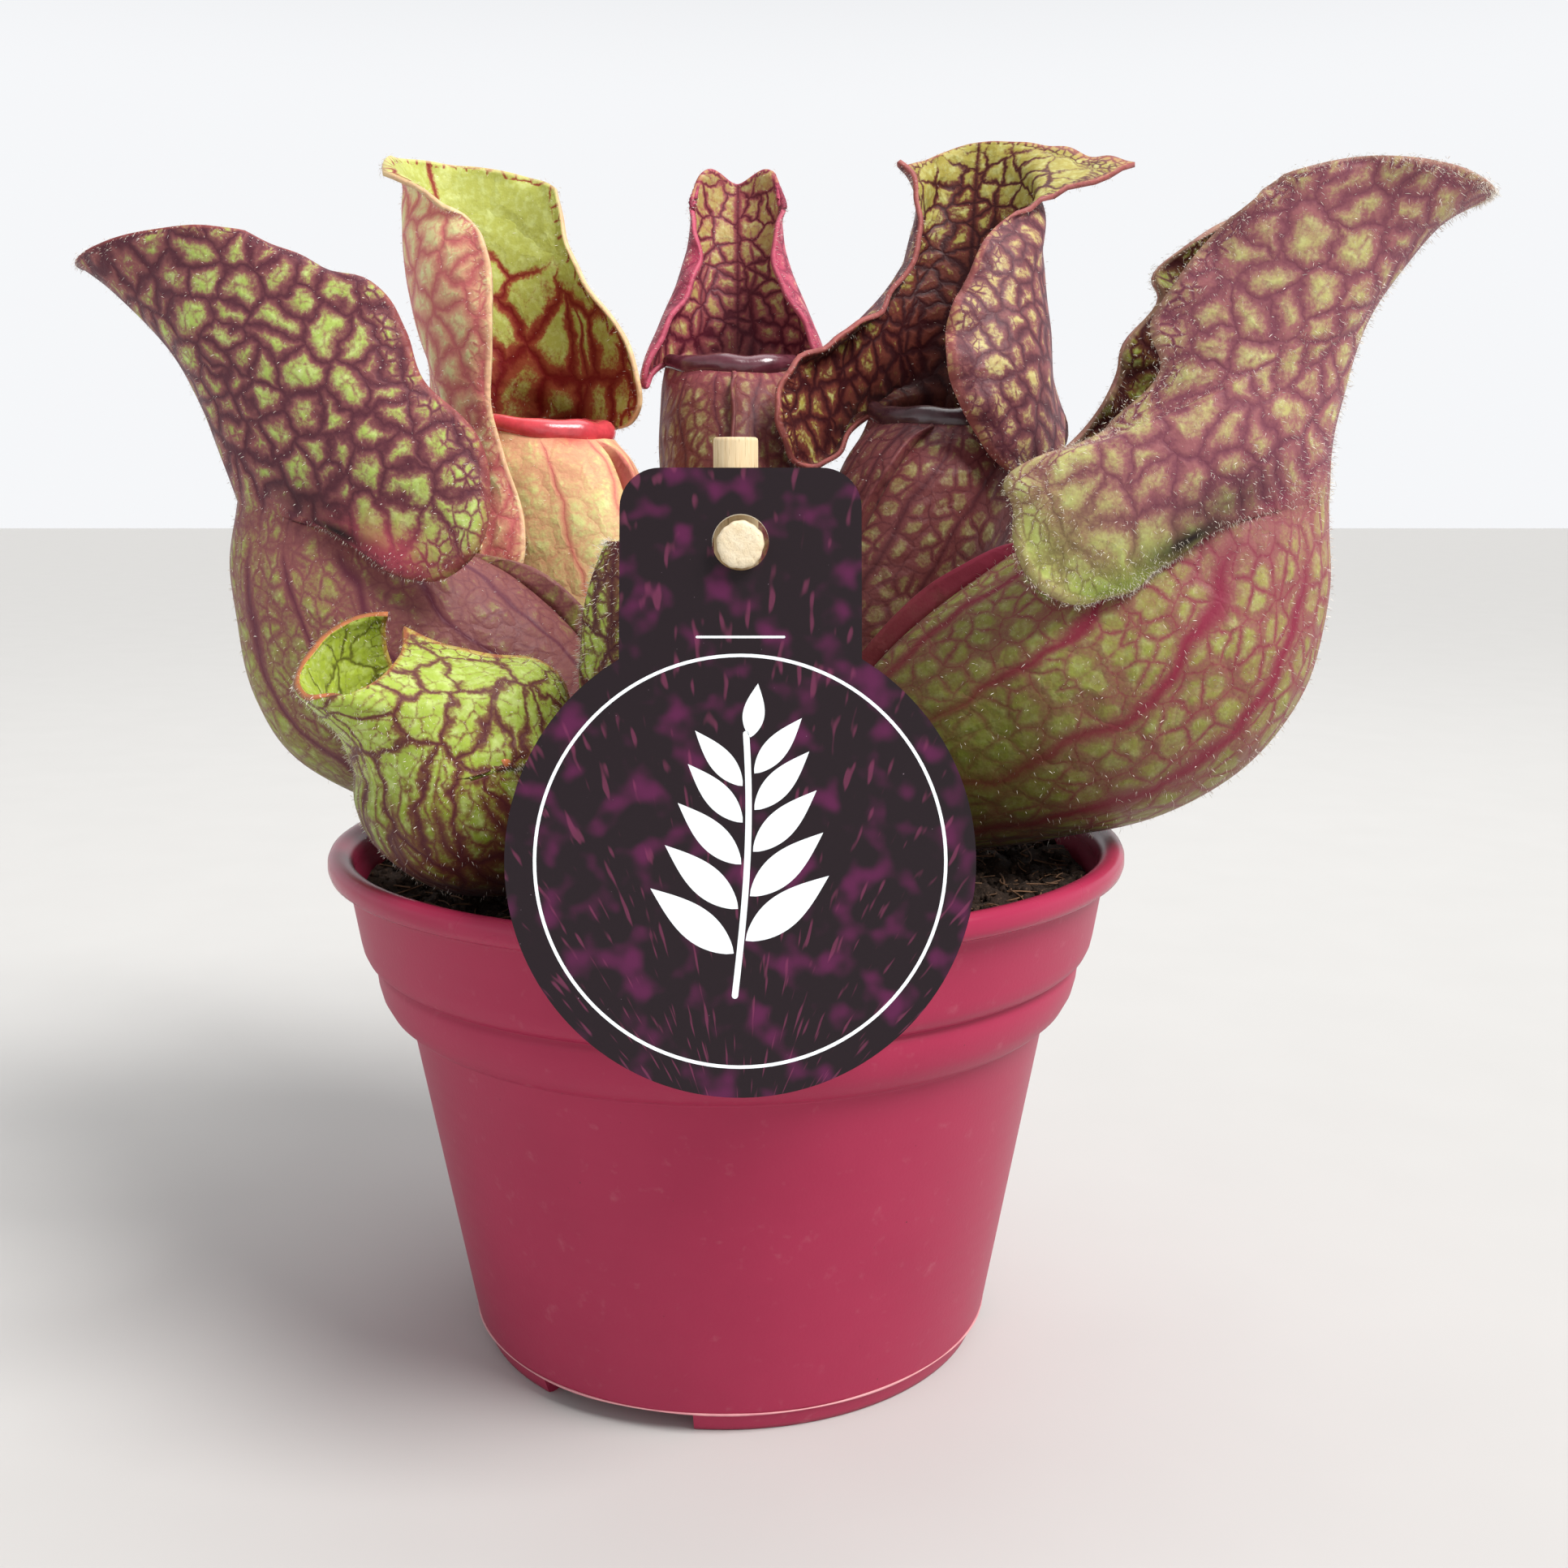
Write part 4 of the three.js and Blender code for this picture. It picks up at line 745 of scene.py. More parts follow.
LOOKS = {
    "pitcher_right": {
        "slot": "leaf_purple", "hood": ("beb974", "9a5e62", "70394a"),
        "tube": ("9ca648", "8f5450", "8c2440"), "inner": ("8f9a38", "6c3d2c", "43181c"), "lip": "7b8a3a",
        "edge": "b08d72", "stain_color": "8cb62c",
        "flush": [
            (1.95, -0.3, 0.65, 0.3), (1.6, -0.5, 0.5, 0.3), (1.3, -0.4, 0.85, 0.25),
            (1.27, -0.95, 0.08, 0.14), (1.45, -1.0, 0.1, 0.12), (1.12, -1.0, 0.1, 0.08),
            (1.0, -0.8, 0.95, 0.15), (0.9, -0.3, 0.78, 0.2), (0.6, -0.4, 0.55, 0.3), (0.6, -1.2, 0.45, 0.3),
            (0.25, 0, 0.35, 0.3), (1.5, 0.6, 0.55, 0.5), (0.6, 0.6, 0.5, 0.4),
        ],
        "stain": [(1.22, -1.0, 0.62, 0.13), (1.38, -1.0, 0.4, 0.1), (0.3, -0.9, 0.5, 0.2)],
        "net": (6.0, 3.0, 0.45), "weights": (0.85, 0.85), "belly": (0.3, 0.75), "split": 0.5, "long": 10,
        "long_reach": 3.4, "long_weight": 1.0, "soft": (0.0, 0.8), "belly_soft": (-0.12, 0.98),
        "belly_flush": 0.1, "painted_shade_low": 0.8, "painted_shade_top": 1.0, "painted_shade_color": "3a2608", "ripple": 1.1,
        "ripple_size": 12, "lobes": 6, "lobe_size": 1.5,
        "pit_shade": [(1.2, -0.78, 1.0, 0.075), (1.24, -0.62, 0.6, 0.1)],
        "hairs": 34000, "hair_length": 0.75,
    },
    "pitcher_left": {
        "slot": "leaf_purple", "hood": ("a9be5c", "8c5252", "562834"),
        "tube": ("9fae48", "87504e", "652c3c"), "inner": ("a3a04a", "70382c", "43181c"), "lip": "7a3a40",
        "edge": "a9564f", "stain_color": "cf5568",
        "flush": [
            (1.97, 0.2, 0.9, 0.15), (1.8, 0, 0.75, 0.2), (1.6, 0.55, 0.42, 0.25), (1.35, 0.2, 0.7, 0.22),
            (1.32, 0.9, 0.2, 0.12), (1.1, 0.7, 1.0, 0.13), (0.9, 0.4, 0.72, 0.2), (0.6, 0.2, 0.4, 0.25),
            (0.6, 0.75, 0.62, 0.2), (0.6, 1.3, 0.95, 0.25), (0.2, 0.5, 0.6, 0.25), (1.4, -0.6, 0.6, 0.5),
            (0.6, -0.6, 0.55, 0.4),
        ],
        "stain": [(1.24, 0.86, 0.9, 0.08), (1.12, 0.9, 0.6, 0.07)],
        "net": (5.0, 2.5, 0.5), "weights": (1.0, 0.5), "belly": (0.5, 0.6), "soft": (0.1, 0.7),
        "belly_flush": 0.06, "long": 13,
        "pit_shade": [(1.2, 0.78, 1.0, 0.06), (1.24, 0.64, 0.5, 0.09)],
        "hairs": 9000,
    },
    "pitcher_rear_left": {
        "slot": "leaf_pale", "hood": ("e8dc9e", "e4a888", "cc6c6c"), "tube": ("d8d88c", "dba07c", "c4625e"),
        "inner": ("b4b85a", "9c4a32", "7a1518"), "lip": "cf3b47", "lip_size": 2.2, "edge": "ecd9a0",
        "stain_color": "c0303f",
        "flush": [
            (1.9, 0.3, 0.3, 0.3), (1.5, 0.7, 0.55, 0.3), (1.2, 0.6, 0.62, 0.2), (0.85, 1.5, 0.8, 0.14),
            (0.6, 1.5, 0.35, 0.25), (0.3, 1.5, 0.25, 0.3), (1.5, -0.6, 0.4, 0.3), (0.7, 0, 0.5, 0.5),
        ],
        "inner_flush": [
            (2.0, 0, 0.18, 0.25), (1.6, 0, 0.45, 0.2), (1.3, 0, 0.62, 0.2), (1.1, -0.6, 0.95, 0.2),
            (1.3, -0.9, 0.5, 0.2), (1.4, 0.8, 0.4, 0.3), (1.0, 0, 0.8, 0.2), (0.6, 0, 0.6, 0.4),
        ],
        "stain": [(0.92, 1.5, 0.75, 0.07)],
        "net": (5.2, 2.6, 0.5), "inner_net": (8.0, 2.2, 0.25), "inner_draw": 1.4, "inner_fade": (1.6, 1.95),
        "inner_long": 6, "belly": (0.5, 0.45), "belly_flush": 0.2, "painted_shade_low": 0.3, "hairs": 7000,
        "hair_length": 0.6,
    },
    "pitcher_rear_centre": {
        "slot": "leaf_purple", "hood": ("dca08a", "b85a6c", "762840"),
        "tube": ("93804c", "743a38", "4f1b28"), "inner": ("b59a5c", "9a4c50", "5a1628"), "lip": "5a1d2e",
        "lip_size": 2.1, "edge": "c2506a", "stain_color": "b8405f",
        "flush": [
            (1.9, 0.6, 0.6, 0.3), (1.5, 0.8, 0.6, 0.3), (1.15, 0.8, 0.5, 0.2), (0.9, 1.5, 0.7, 0.12),
            (0.6, 1.4, 0.5, 0.3), (0.2, 1.4, 0.5, 0.3), (1.5, -0.8, 0.6, 0.3), (0.6, 0, 0.6, 0.4),
        ],
        "inner_flush": [
            (2.0, 0, 0.45, 0.3), (1.6, 0, 0.5, 0.25), (1.3, 0, 0.6, 0.2), (1.1, 0.5, 0.7, 0.2),
            (1.1, -0.5, 0.7, 0.2), (1.5, 0.95, 0.85, 0.2), (1.5, -0.95, 0.85, 0.2), (0.8, 0, 0.8, 0.3),
        ],
        "stain": [
            (1.95, 1.0, 0.7, 0.12), (1.95, -1.0, 0.7, 0.12), (1.65, 1.0, 0.85, 0.13),
            (1.65, -1.0, 0.85, 0.13), (1.35, 1.0, 0.85, 0.13), (1.35, -1.0, 0.85, 0.13),
            (1.1, 1.0, 0.7, 0.1), (1.1, -1.0, 0.7, 0.1),
        ],
        "net": (4.2, 2.2, 0.6), "throat_shade": 1.2, "inner_net": (4.4, 1.5, 0.4), "weights": (1.0, 0.85),
        "split": 0.6, "belly": (0.3, 0.7), "belly_flush": 0.15, "hairs": 3500,
    },
    "pitcher_rear_right": {
        "slot": "leaf_purple", "hood": ("bfab6c", "864e50", "522632"),
        "tube": ("9a8e54", "74383a", "4f1824"), "inner": ("a79a48", "6c3228", "380a10"), "lip": "3d1420",
        "lip_size": 2.1, "edge": "b8655c", "stain_color": "8c9c30",
        "flush": [
            (1.95, -0.9, 0.36, 0.2), (1.6, -0.95, 0.2, 0.16), (1.4, -0.5, 0.66, 0.25),
            (1.2, -0.6, 0.58, 0.2), (1.3, -1.0, 0.15, 0.16), (0.85, 1.5, 0.85, 0.2), (0.5, 1.4, 0.55, 0.3),
            (0.5, -1.4, 0.6, 0.3), (1.6, 0.8, 0.45, 0.4), (0.2, 1.5, 0.6, 0.3),
        ],
        "inner_flush": [
            (2.0, 0.2, 0.1, 0.18), (1.85, -0.3, 0.25, 0.2), (1.6, 0.2, 0.6, 0.2), (1.35, 0, 0.95, 0.25),
            (1.15, 0.8, 0.35, 0.15), (1.25, 0.5, 0.8, 0.15), (1.1, 0, 1.0, 0.25), (0.8, 0, 1.0, 0.3),
        ],
        "net": (4.8, 2.7, 0.6), "throat_shade": 1.45, "inner_net": (4.6, 1.8, 0.4), "weights": (1.0, 0.85),
        "split": 0.6, "belly": (0.3, 0.75), "belly_flush": 0.12, "long_reach": 2.6, "painted_shade_low": 0.75,
        "ripple": 0.9, "hairs": 6000,
    },
    "pitcher_front_left": {
        "slot": "leaf_green", "hood": ("a0b446", "7c5634", "541f2c"),
        "tube": ("83942c", "6c4026", "4f1820"), "inner": ("a9bd3e", "8f9c34", "4f4a1c"), "lip": "b8662f",
        "edge": "cc7a4c", "stain_color": "7c9a2a",
        "flush": [
            (1.9, 0, 0.1, 0.3), (1.5, -0.7, 0.16, 0.3), (1.3, 0.5, 0.2, 0.25), (1.0, 0.9, 0.34, 0.2),
            (0.8, 0.6, 0.4, 0.2), (0.5, 0.4, 0.75, 0.25), (0.3, 0, 0.95, 0.3), (1.2, 0, 0.3, 0.3),
        ],
        "net": (6.2, 1.7, 0.7), "weights": (1.0, 0.3), "split": 0.36, "painted_shade_low": 0.9, "painted_shade_top": 1.05,
        "ripple": 0.3, "hairs": 8000,
    },
    "pitcher_front_small": {
        "slot": "leaf_green", "hood": ("a6b94a", "6f4a35", "4d2028"),
        "tube": ("9ab04c", "80503f", "5d2733"), "inner": ("9aa53c", "6e4a2c", "4c2020"), "lip": "5b2530",
        "edge": "6b2d38", "stain_color": "4a1a22",
        "flush": [(1.9, 0, 0.5, 0.3), (1.4, 0, 0.34, 0.3), (0.8, 0, 0.4, 0.3), (0.3, 0, 0.5, 0.3)],
        "net": (4.5, 1.3, 0.7), "weights": (1.0, 0.4), "ripple": 0.2, "hairs": 5000, "hair_length": 0.9,
    },
}


def look_of(leaf):
    look = LOOKS[leaf["name"]]
    look = {**PLAIN_LOOK, "inner_flush": look["flush"], "inner_net": look["net"], **look}
    soft_low, soft_high = look["soft"]
    return {"belly_soft": (soft_low - 0.1, soft_high + 0.14), **look}


NET_BEND = 4.4  # how far noise bends the main net, in millimetres
FINE_BEND = 0.35  # how much of that bends the finer nets
FINE_REACH, MARGIN_REACH, RIB_REACH = 0.85, 0.7, 1.6  # half widths of the veins, in millimetres
HOLLOW_REACH = 2.4  # half width of the hollow along a main vein


def net_of_veins(skin, cells, size, seed):
    """A net whose cells are size millimetres wide: the distance in millimetres to the nearest border, and the
    distance in cell widths from the middle of the cell."""
    place = skin.vector("MULTIPLY_ADD", cells, (1 / size, 1 / size, 0), (seed, seed * 1.7, 0))
    inputs = {"Vector": place, "Scale": 1.0}
    edge, middle = (
        skin.node("ShaderNodeTexVoronoi", inputs, voronoi_dimensions="2D", feature=name)["Distance"]
        for name in ("DISTANCE_TO_EDGE", "F1")
    )
    return Value(skin, edge) * size, Value(skin, middle)


def falling(skin, distance, reach, height=1.0):
    """From height at a vein down to 0 at reach millimetres from it."""
    share = skin.math("DIVIDE", distance, reach)
    return skin.math("SUBTRACT", 1.0, share, clamp=True) * height


def largest(skin, *values):
    total = values[0]
    for value in values[1:]:
        total = skin.math("MAXIMUM", total, value)
    return total


def leaf_skin(leaf, side):
    """The outside, inside or edge of a leaf: areoles between a net of veins, with a blush round them."""
    look = look_of(leaf)
    skin = Material(leaf["name"] + "_" + side)
    seed = 3.1 + 7.7 * LEAVES.index(leaf)  # each leaf has noise of its own
    inside = side == "inner"
    size, halo, fine = look["inner_net" if inside else "net"]
    main_weight, round_weight = (1.0, 0.4) if inside else look["weights"]
    belly_main, belly_fine = look.get("belly", (main_weight, fine))

    margin, height, turn, girth_there, stain, flush = (
        skin.attribute(name)
        for name in ("margin", "rise", "turn", "girth", "stain", "inner_flush" if inside else "flush")
    )
    low = skin.ease(height, 0.7, 1.3, 1.0, 0.0)  # 1 on the tube and 0 on the hood
    warp = skin.node("ShaderNodeTexNoise", {"Vector": skin.place(), "Scale": 1 / (3.5 * MM), "Detail": 3.0})
    bend = skin.vector("SUBTRACT", warp["Color"], (0.5, 0.5, 0.5))
    bend = skin.vector("MULTIPLY", bend, (NET_BEND, NET_BEND, 0))
    draw = (1, 1 / look["inner_draw"] if inside else 1, 1)
    uv = skin.flat_place("cells")
    cells, fine_cells = (
        skin.vector("MULTIPLY", skin.vector("MULTIPLY_ADD", bend, (amount, amount, 0), uv), draw)
        for amount in (1.0, FINE_BEND)
    )

    # three nets: the main one, one that splits its areoles, and small areoles along the margin
    main_gap, main_reach = net_of_veins(skin, cells, size, seed)
    fine_gap, fine_reach = net_of_veins(skin, fine_cells, size * look["split"], seed + 5)
    small_gap, _ = net_of_veins(skin, fine_cells, size * 0.3, seed + 9)
    main_there = skin.ease(low, 0.2, 0.8, main_weight, belly_main)
    fine_there = skin.ease(low, 0.2, 0.8, fine, belly_fine)
    if inside:
        main_there = main_there * skin.ease(height, *look["inner_fade"], 1.0, 0.1)
        halo = skin.ease(height, 1.0, 1.8, halo * 1.35, halo * 0.7)
    main = falling(skin, main_gap, halo) * main_there
    fine_veins = falling(skin, fine_gap, FINE_REACH) * fine_there
    small = falling(skin, small_gap, MARGIN_REACH, 0.9) * skin.ease(margin, 0.1, 0.7)
    rounded = skin.ease(main_reach, 0.25, 0.62) * main_there
    rounded = largest(skin, rounded, skin.ease(fine_reach, 0.2, 0.6) * fine_there) * round_weight

    # long veins down the tube, and the midrib of the hood
    count = look["inner_long" if inside else "long"]
    lines = skin.math("PINGPONG", turn + skin.noise(14, 2, seed=seed) * 0.4, math.pi / count) * girth_there
    long_reach = skin.ease(height, 1.0, 1.75, 3.0, 0.7) if inside else look["long_reach"]
    long_share = skin.ease(height, 1.5, 1.9, 1.0, 0.0) if inside else skin.ease(low, 0.3, 0.9)
    long_veins = falling(skin, lines, long_reach, look["long_weight"]) * long_share
    rib = falling(skin, skin.math("ABSOLUTE", turn) * girth_there, RIB_REACH, 0.95) * (1.0 - low)

    veins = largest(skin, main, fine_veins, small, long_veins, rib)
    speckle = (skin.noise(0.55, 4, seed=seed, roughness=0.7) - 0.5) * 0.9
    patch = (skin.noise(7, 2, seed=seed + 2) - 0.5) * 0.5
    uneven = (flush - 0.5) * 0.9 + speckle + patch
    value = largest(skin, veins, rounded) + uneven
    if not inside:
        value = value + low * look["belly_flush"]
    darkness = veins + uneven * 0.4

    if inside:
        green, blush, vein = look["inner"]
    else:
        green, blush, vein = (skin.mix(low, hood, belly) for hood, belly in zip(look["hood"], look["tube"]))
    light = skin.mix(skin.ease(skin.noise(1.3, 3, seed=seed + 4), 0.4, 0.75, 0, 0.35), green, "e3efae")
    from_value, to_value = (skin.ease(low, 0.0, 1.0, *ends) for ends in zip(look["soft"], look["belly_soft"]))
    color = skin.mix(skin.ease(value, from_value, to_value), light, blush)
    color = skin.mix(skin.ease(darkness, 0.5, 1.02), color, vein)
    color = skin.mix(stain * skin.ease(value, 0.8, 1.1, 1.0, 0.5), color, look["stain_color"])
    color = skin.mix(skin.ease(margin, 0.93, 1.0) * 0.5, color, look["edge"])
    if side == "edge":
        color = skin.mix(skin.noise(2.5, 2, seed=seed), look["edge"], blush)
    if inside:
        # painted shade darkens the throat with depth
        color = skin.mix(skin.ease(height, 0.55, look["throat_shade"], 0.88, 0), color, "1e0a0a")
    else:
        # painted shade darkens the leaves towards the stalk, and fills the pit beside the corner of the mouth
        painted_shade = skin.ease(height, 0.1, look["painted_shade_top"], look["painted_shade_low"], 0.0)
        color = skin.mix(painted_shade, color, look["painted_shade_color"])
        color = skin.mix(skin.attribute("pit_shade"), color, "15070b")

    # the skin is puffed up between its veins
    grain = skin.bump(skin.noise(0.35, 3, seed=seed + 6), 0.1, 0.35)
    hollow = largest(skin, falling(skin, main_gap, HOLLOW_REACH), long_veins * 0.9) + fine_veins * 0.25
    puffed = skin.bump(hollow * -1.0, 0.5, 0.5, grain)
    shine = skin.ease(skin.noise(3, 2, seed=seed + 8), 0.2, 0.8, 0.42, 0.6)
    sheen = {"sheen_weight": 0.05, "sheen_roughness": 0.5, "sheen_tint": "f3e6e6"}
    return skin.finish(color, shine, puffed, specular_ior_level=0.2, **sheen)


def mottled_skin(name, low, high, size, detail, roughness, relief=None):
    """Two colours mixed by noise. relief is the size, detail, depth and strength of its bump."""
    skin = Material(name)
    normal = skin.bump(skin.noise(*relief[:2]), *relief[2:]) if relief else None
    return skin.finish(skin.mix(skin.noise(size, detail), low, high), roughness, normal)


def lip_skin(leaf):
    skin = Material(leaf["name"] + "_lip")
    base = linear(LOOKS[leaf["name"]]["lip"])[:3]
    dark = (*[0.45 * v for v in base], 1.0)
    bright = (*[min(1.0, 1.5 * v + 0.03) for v in base], 1.0)
    color = skin.mix(skin.noise(2.2, 3), dark, bright)
    normal = skin.bump(skin.noise(0.8, 3), 0.1, 0.6)
    return skin.finish(color, 0.25, normal, coat_weight=0.4, coat_roughness=0.2)


# The parts of a leaf
LEAF_THICKNESS = 0.85
HAIR_HALF_WIDTH = 0.017
# rows of the wing's section: how far out, as a share of its height or in millimetres inwards, and half width
WING_ROWS = ((-0.3, 0.6), (0.35, 0.42), (0.8, 0.36), (1.0, 0.2))


def make_lip(leaf, material):
    """The rolled lip round the front of the mouth, from hinge to hinge."""
    look = look_of(leaf)
    mouth = ring_table(leaf)[-1]
    steps = 72
    turns = np.linspace(HINGE - 0.12, ROUND - HINGE + 0.12, steps + 1)
    last = float(len(leaf["rings"]) - 1)
    path = placed(leaf, np.full(turns.shape, last), ring_point(mouth[None, :], turns))
    path[:, 2] += 0.3 + 0.15 * np.sin(np.linspace(0, 19, steps + 1))
    size = look["lip_size"] * mouth[4] / 13
    swell = 1 + 0.06 * np.sin(np.linspace(0, 31, steps + 1))
    radii = size * (0.55 + 0.5 * np.sin(np.linspace(0, math.pi, steps + 1))) * swell
    mesh_object(leaf["name"] + "_lip", *tube_along(path, radii, 14), material, slot=look["slot"])


def make_wing(leaf, material):
    """The thin wing down the front of the tube."""
    rings = ring_table(leaf)
    last = len(rings) - 1
    steps = 60
    rows = np.arange(len(rings), dtype=float)
    fronts = placed(leaf, rows, ring_point(rings, np.full(len(rings), math.pi)))
    middles = ring_point(rings, np.full(len(rings), math.pi / 2))
    middles[:, 2] = rings[:, 5]
    middles = placed(leaf, rows, middles)
    share = np.linspace(1.5 / last, 1 - 0.15 / last, steps + 1)
    root = along(fronts, share)
    outward = unit(root - along(middles, share))
    across = unit(np.cross(along(fronts, share + 0.01) - along(fronts, share - 0.01), outward))
    height = 0.3 + leaf["wing"] * np.sin(np.linspace(0, math.pi, steps + 1)) ** 0.7
    wave = across * (0.25 * np.sin(np.linspace(0, 23, steps + 1)))[:, None]
    layers = []
    for reach, half in WING_ROWS:
        out = max(reach, 0)
        layers.append((root + outward * (height * out + min(reach, 0))[:, None] + wave * out, half))
    ring = [centre + across * half for centre, half in layers]
    ring += [centre - across * half for centre, half in reversed(layers)]
    faces = grid_faces(steps + 1, len(ring), True)
    points = np.stack(ring, axis=1).reshape(-1, 3)
    piece = mesh_object(leaf["name"] + "_wing", points, faces, material, slot=look_of(leaf)["slot"])
    shares = np.repeat(share, len(ring))
    values = {"flush": 0.72, "stain": 0, "pit_shade": 0, "margin": 0, "rise": shares, "turn": 0.4, "girth": 14.0}
    set_values(piece.data, values)
    loops = np.array(faces).ravel()
    up = np.tile([0, 0.35, 0.7, 1.05, 1.05, 0.7, 0.35, 0], steps + 1)
    set_places(piece.data, "cells", np.column_stack([up[loops] * 2.5, shares[loops] * 45]))


def make_hairs(leaf, points, normals, height, near_margin, material):
    """Fine pale hairs, densest at the hood's margin and on its outside."""
    look = look_of(leaf)
    rng = np.random.default_rng(40 + LEAVES.index(leaf))
    wanted = look["hairs"]
    weight = smooth_step(0.25, 0.8, height) * (0.35 + 2.5 * near_margin)
    chosen = rng.choice(len(points), wanted, p=weight / weight.sum())
    root = points[chosen] + rng.normal(scale=0.25, size=(wanted, 3))
    way = np.where(rng.random(wanted) < 0.8, 1.0, -1.0)[:, None]
    outward = normals[chosen] * way
    lean = rng.normal(scale=0.55, size=(wanted, 3)) + [0, 0, -0.35]
    direction = unit(outward + lean)
    length = look["hair_length"] * rng.uniform(0.45, 1.15, wanted)[:, None]
    side = unit(np.cross(direction, rng.normal(size=(wanted, 3)))) * HAIR_HALF_WIDTH
    start = root + outward * 0.3
    bend = start + direction * length * 0.55
    tip = start + direction * length + outward * 0.1 + [0, 0, -0.12]
    vertices = np.stack([start - side, start + side, bend + side * 0.8, tip], axis=1).reshape(-1, 3)
    faces = [(4 * i, 4 * i + 1, 4 * i + 2, 4 * i + 3) for i in range(wanted)]
    mesh_object(leaf["name"] + "_hairs", vertices, faces, material, slot=look["slot"])


# The pot
FOOT_HEIGHT = 3.0
FLOOR_TOP = 4.2
BASE_RADIUS = 26  # of the disc with the drain holes
DRAIN_RADIUS, DRAIN_CIRCLE = 3.3, 21
FOOT_GAPS = (246.5, 6.5, 126.5)  # azimuth of the middle of each gap between the feet
FOOT_GAP = 35.0  # degrees
FOOT_PROFILE = [
    (36.4, 3.4), (36.7, 1.0), (37.0, 0.25), (37.6, 0), (38.4, 0), (39.1, 0.2), (39.4, 0.9), (40.3, 3.4),
]
POT_PROFILE = [
    (BASE_RADIUS, FOOT_HEIGHT), (39.6, FOOT_HEIGHT), (40.4, 3.2), (40.6, 3.7), (49.0, 51.6), (49.15, 52.0),
    (49.6, 52.15), (50.6, 52.6), (52.0, 53.9), (53.0, 55.8), (53.5, 57.8), (53.7, 59.6), (53.6, 60.3),
    (53.25, 60.65), (53.3, 60.95), (54.1, 61.3), (55.0, 62.1), (55.5, 63.2), (55.8, 64.6), (57.1, 72.9),
    (57.3, 73.5), (57.7, 73.8), (59.1, 74.0), (59.75, 74.5), (60.0, 75.3), (59.95, 76.4), (59.6, 77.15),
    (59.0, 77.45), (58.4, 77.5), (57.5, 77.3), (56.8, 76.8), (56.4, 76.0), (56.0, 73.0), (54.8, 64.5),
    (52.5, 60.6), (47.9, 52.0), (39.4, FLOOR_TOP), (BASE_RADIUS, FLOOR_TOP),
]


def pot_skin():
    skin = Material("pot_plastic")
    place = skin.place()
    mottle = skin.noise(18, 3)
    color = skin.mix(mottle, "9a2546", "a73050")
    # dust and grains of peat stuck to the wall
    gather = skin.ease(skin.noise(15, 2, seed=9), 0.45, 0.65)
    grains = skin.ease(skin.noise(0.9, 2, seed=4), 0.76, 0.79) * gather
    color = skin.mix(grains, color, "3a2226")
    dust = skin.ease(skin.noise(2.5, 4, seed=12), 0.6, 0.85, 0, 0.12)
    color = skin.mix(dust, color, "d9a9ae")
    # the rim is smoother than the wall
    level = skin.node("ShaderNodeSeparateXYZ", {0: place})[2]
    rough = skin.ease(level, 72 * MM, 75 * MM, 0.42, 0.26) + (mottle - 0.5) * 0.12
    # faint rings left by forming, and a fine pebbled surface
    wave = {"Vector": place, "Scale": 110.0, "Distortion": 0.6}
    rings = skin.node("ShaderNodeTexWave", wave, wave_type="BANDS", bands_direction="Z")["Fac"]
    normal = skin.bump(skin.noise(0.5, 2), 0.03, 0.6, skin.bump(rings, 0.02, 0.35))
    return skin.finish(color, rough, normal, specular_ior_level=0.22)


def make_pot():
    sectors = 192
    parts = [lathe(POT_PROFILE, sectors)]
    # the base between its drain holes
    holes = np.column_stack(turned(DRAIN_CIRCLE, 0.0, np.radians(15 + 60 * np.arange(6))))
    radii = [0.3, *np.linspace(0, BASE_RADIUS, 9)[1:]]
    for z, flip in ((FOOT_HEIGHT, True), (FLOOR_TOP, False)):
        disc, faces = lathe([(radius, z) for radius in radii], sectors)
        middles = disc[np.array(faces)].mean(axis=1)[:, None, :2]
        clear = np.linalg.norm(middles - holes, axis=2).min(axis=1) > DRAIN_RADIUS
        parts.append((disc, [face[::-1] if flip else face for face, kept in zip(faces, clear) if kept]))
    # the feet and their ends
    sides = 72
    for middle in FOOT_GAPS:
        sweep = math.radians(360 / len(FOOT_GAPS) - FOOT_GAP)
        ring, faces = lathe(FOOT_PROFILE, sides, math.radians(middle + FOOT_GAP / 2), sweep)
        end = tuple(k * (sides + 1) for k in range(len(FOOT_PROFILE)))
        parts += [(ring, faces), (ring, [end, tuple(i + sides for i in end)[::-1]])]
    mesh_object("pot_shell", *merged(parts), pot_skin(), "pot", "pot_plastic")
    # the thin pale flash left at the seam of the base
    turns = np.linspace(0, ROUND, 241)
    path = np.column_stack([*turned(40.5, 0.0, turns), 3.25 + 0.048 * np.sin(turns * 7 + 1)])
    seam = tube_along(path, 0.16 + 0.05 * np.sin(turns * 11), 6)
    flash = mottled_skin("pot_flash", "b76a78", "e0a9a8", 4, 3, 0.4)
    mesh_object("pot_seam", *seam, flash, slot="pot_plastic")


# The peat
CROWN_RADIUS, CROWN_TOP, CROWN_BOTTOM = 11, 75, 50
CRATER_RADIUS, CRATER_DEPTH, SOIL_TOP = 29, 6.2, 72
SOIL_EDGE = 54.3  # where the peat starts to turn down along the pot's wall
CRUMBS, CRUMB_EDGE = 2600, 54.6
FIBRES, FIBRE_EDGE = 750, 54.4
BLOB = np.array([(-1, 0, 0), (1, 0, 0), (0, -1, 0), (0, 1, 0), (0, 0, -1), (0, 0, 1)], float)
BLOB_FACES = [(0, 2, 5), (2, 1, 5), (1, 3, 5), (3, 0, 5), (2, 0, 4), (1, 2, 4), (3, 1, 4), (0, 3, 4)]


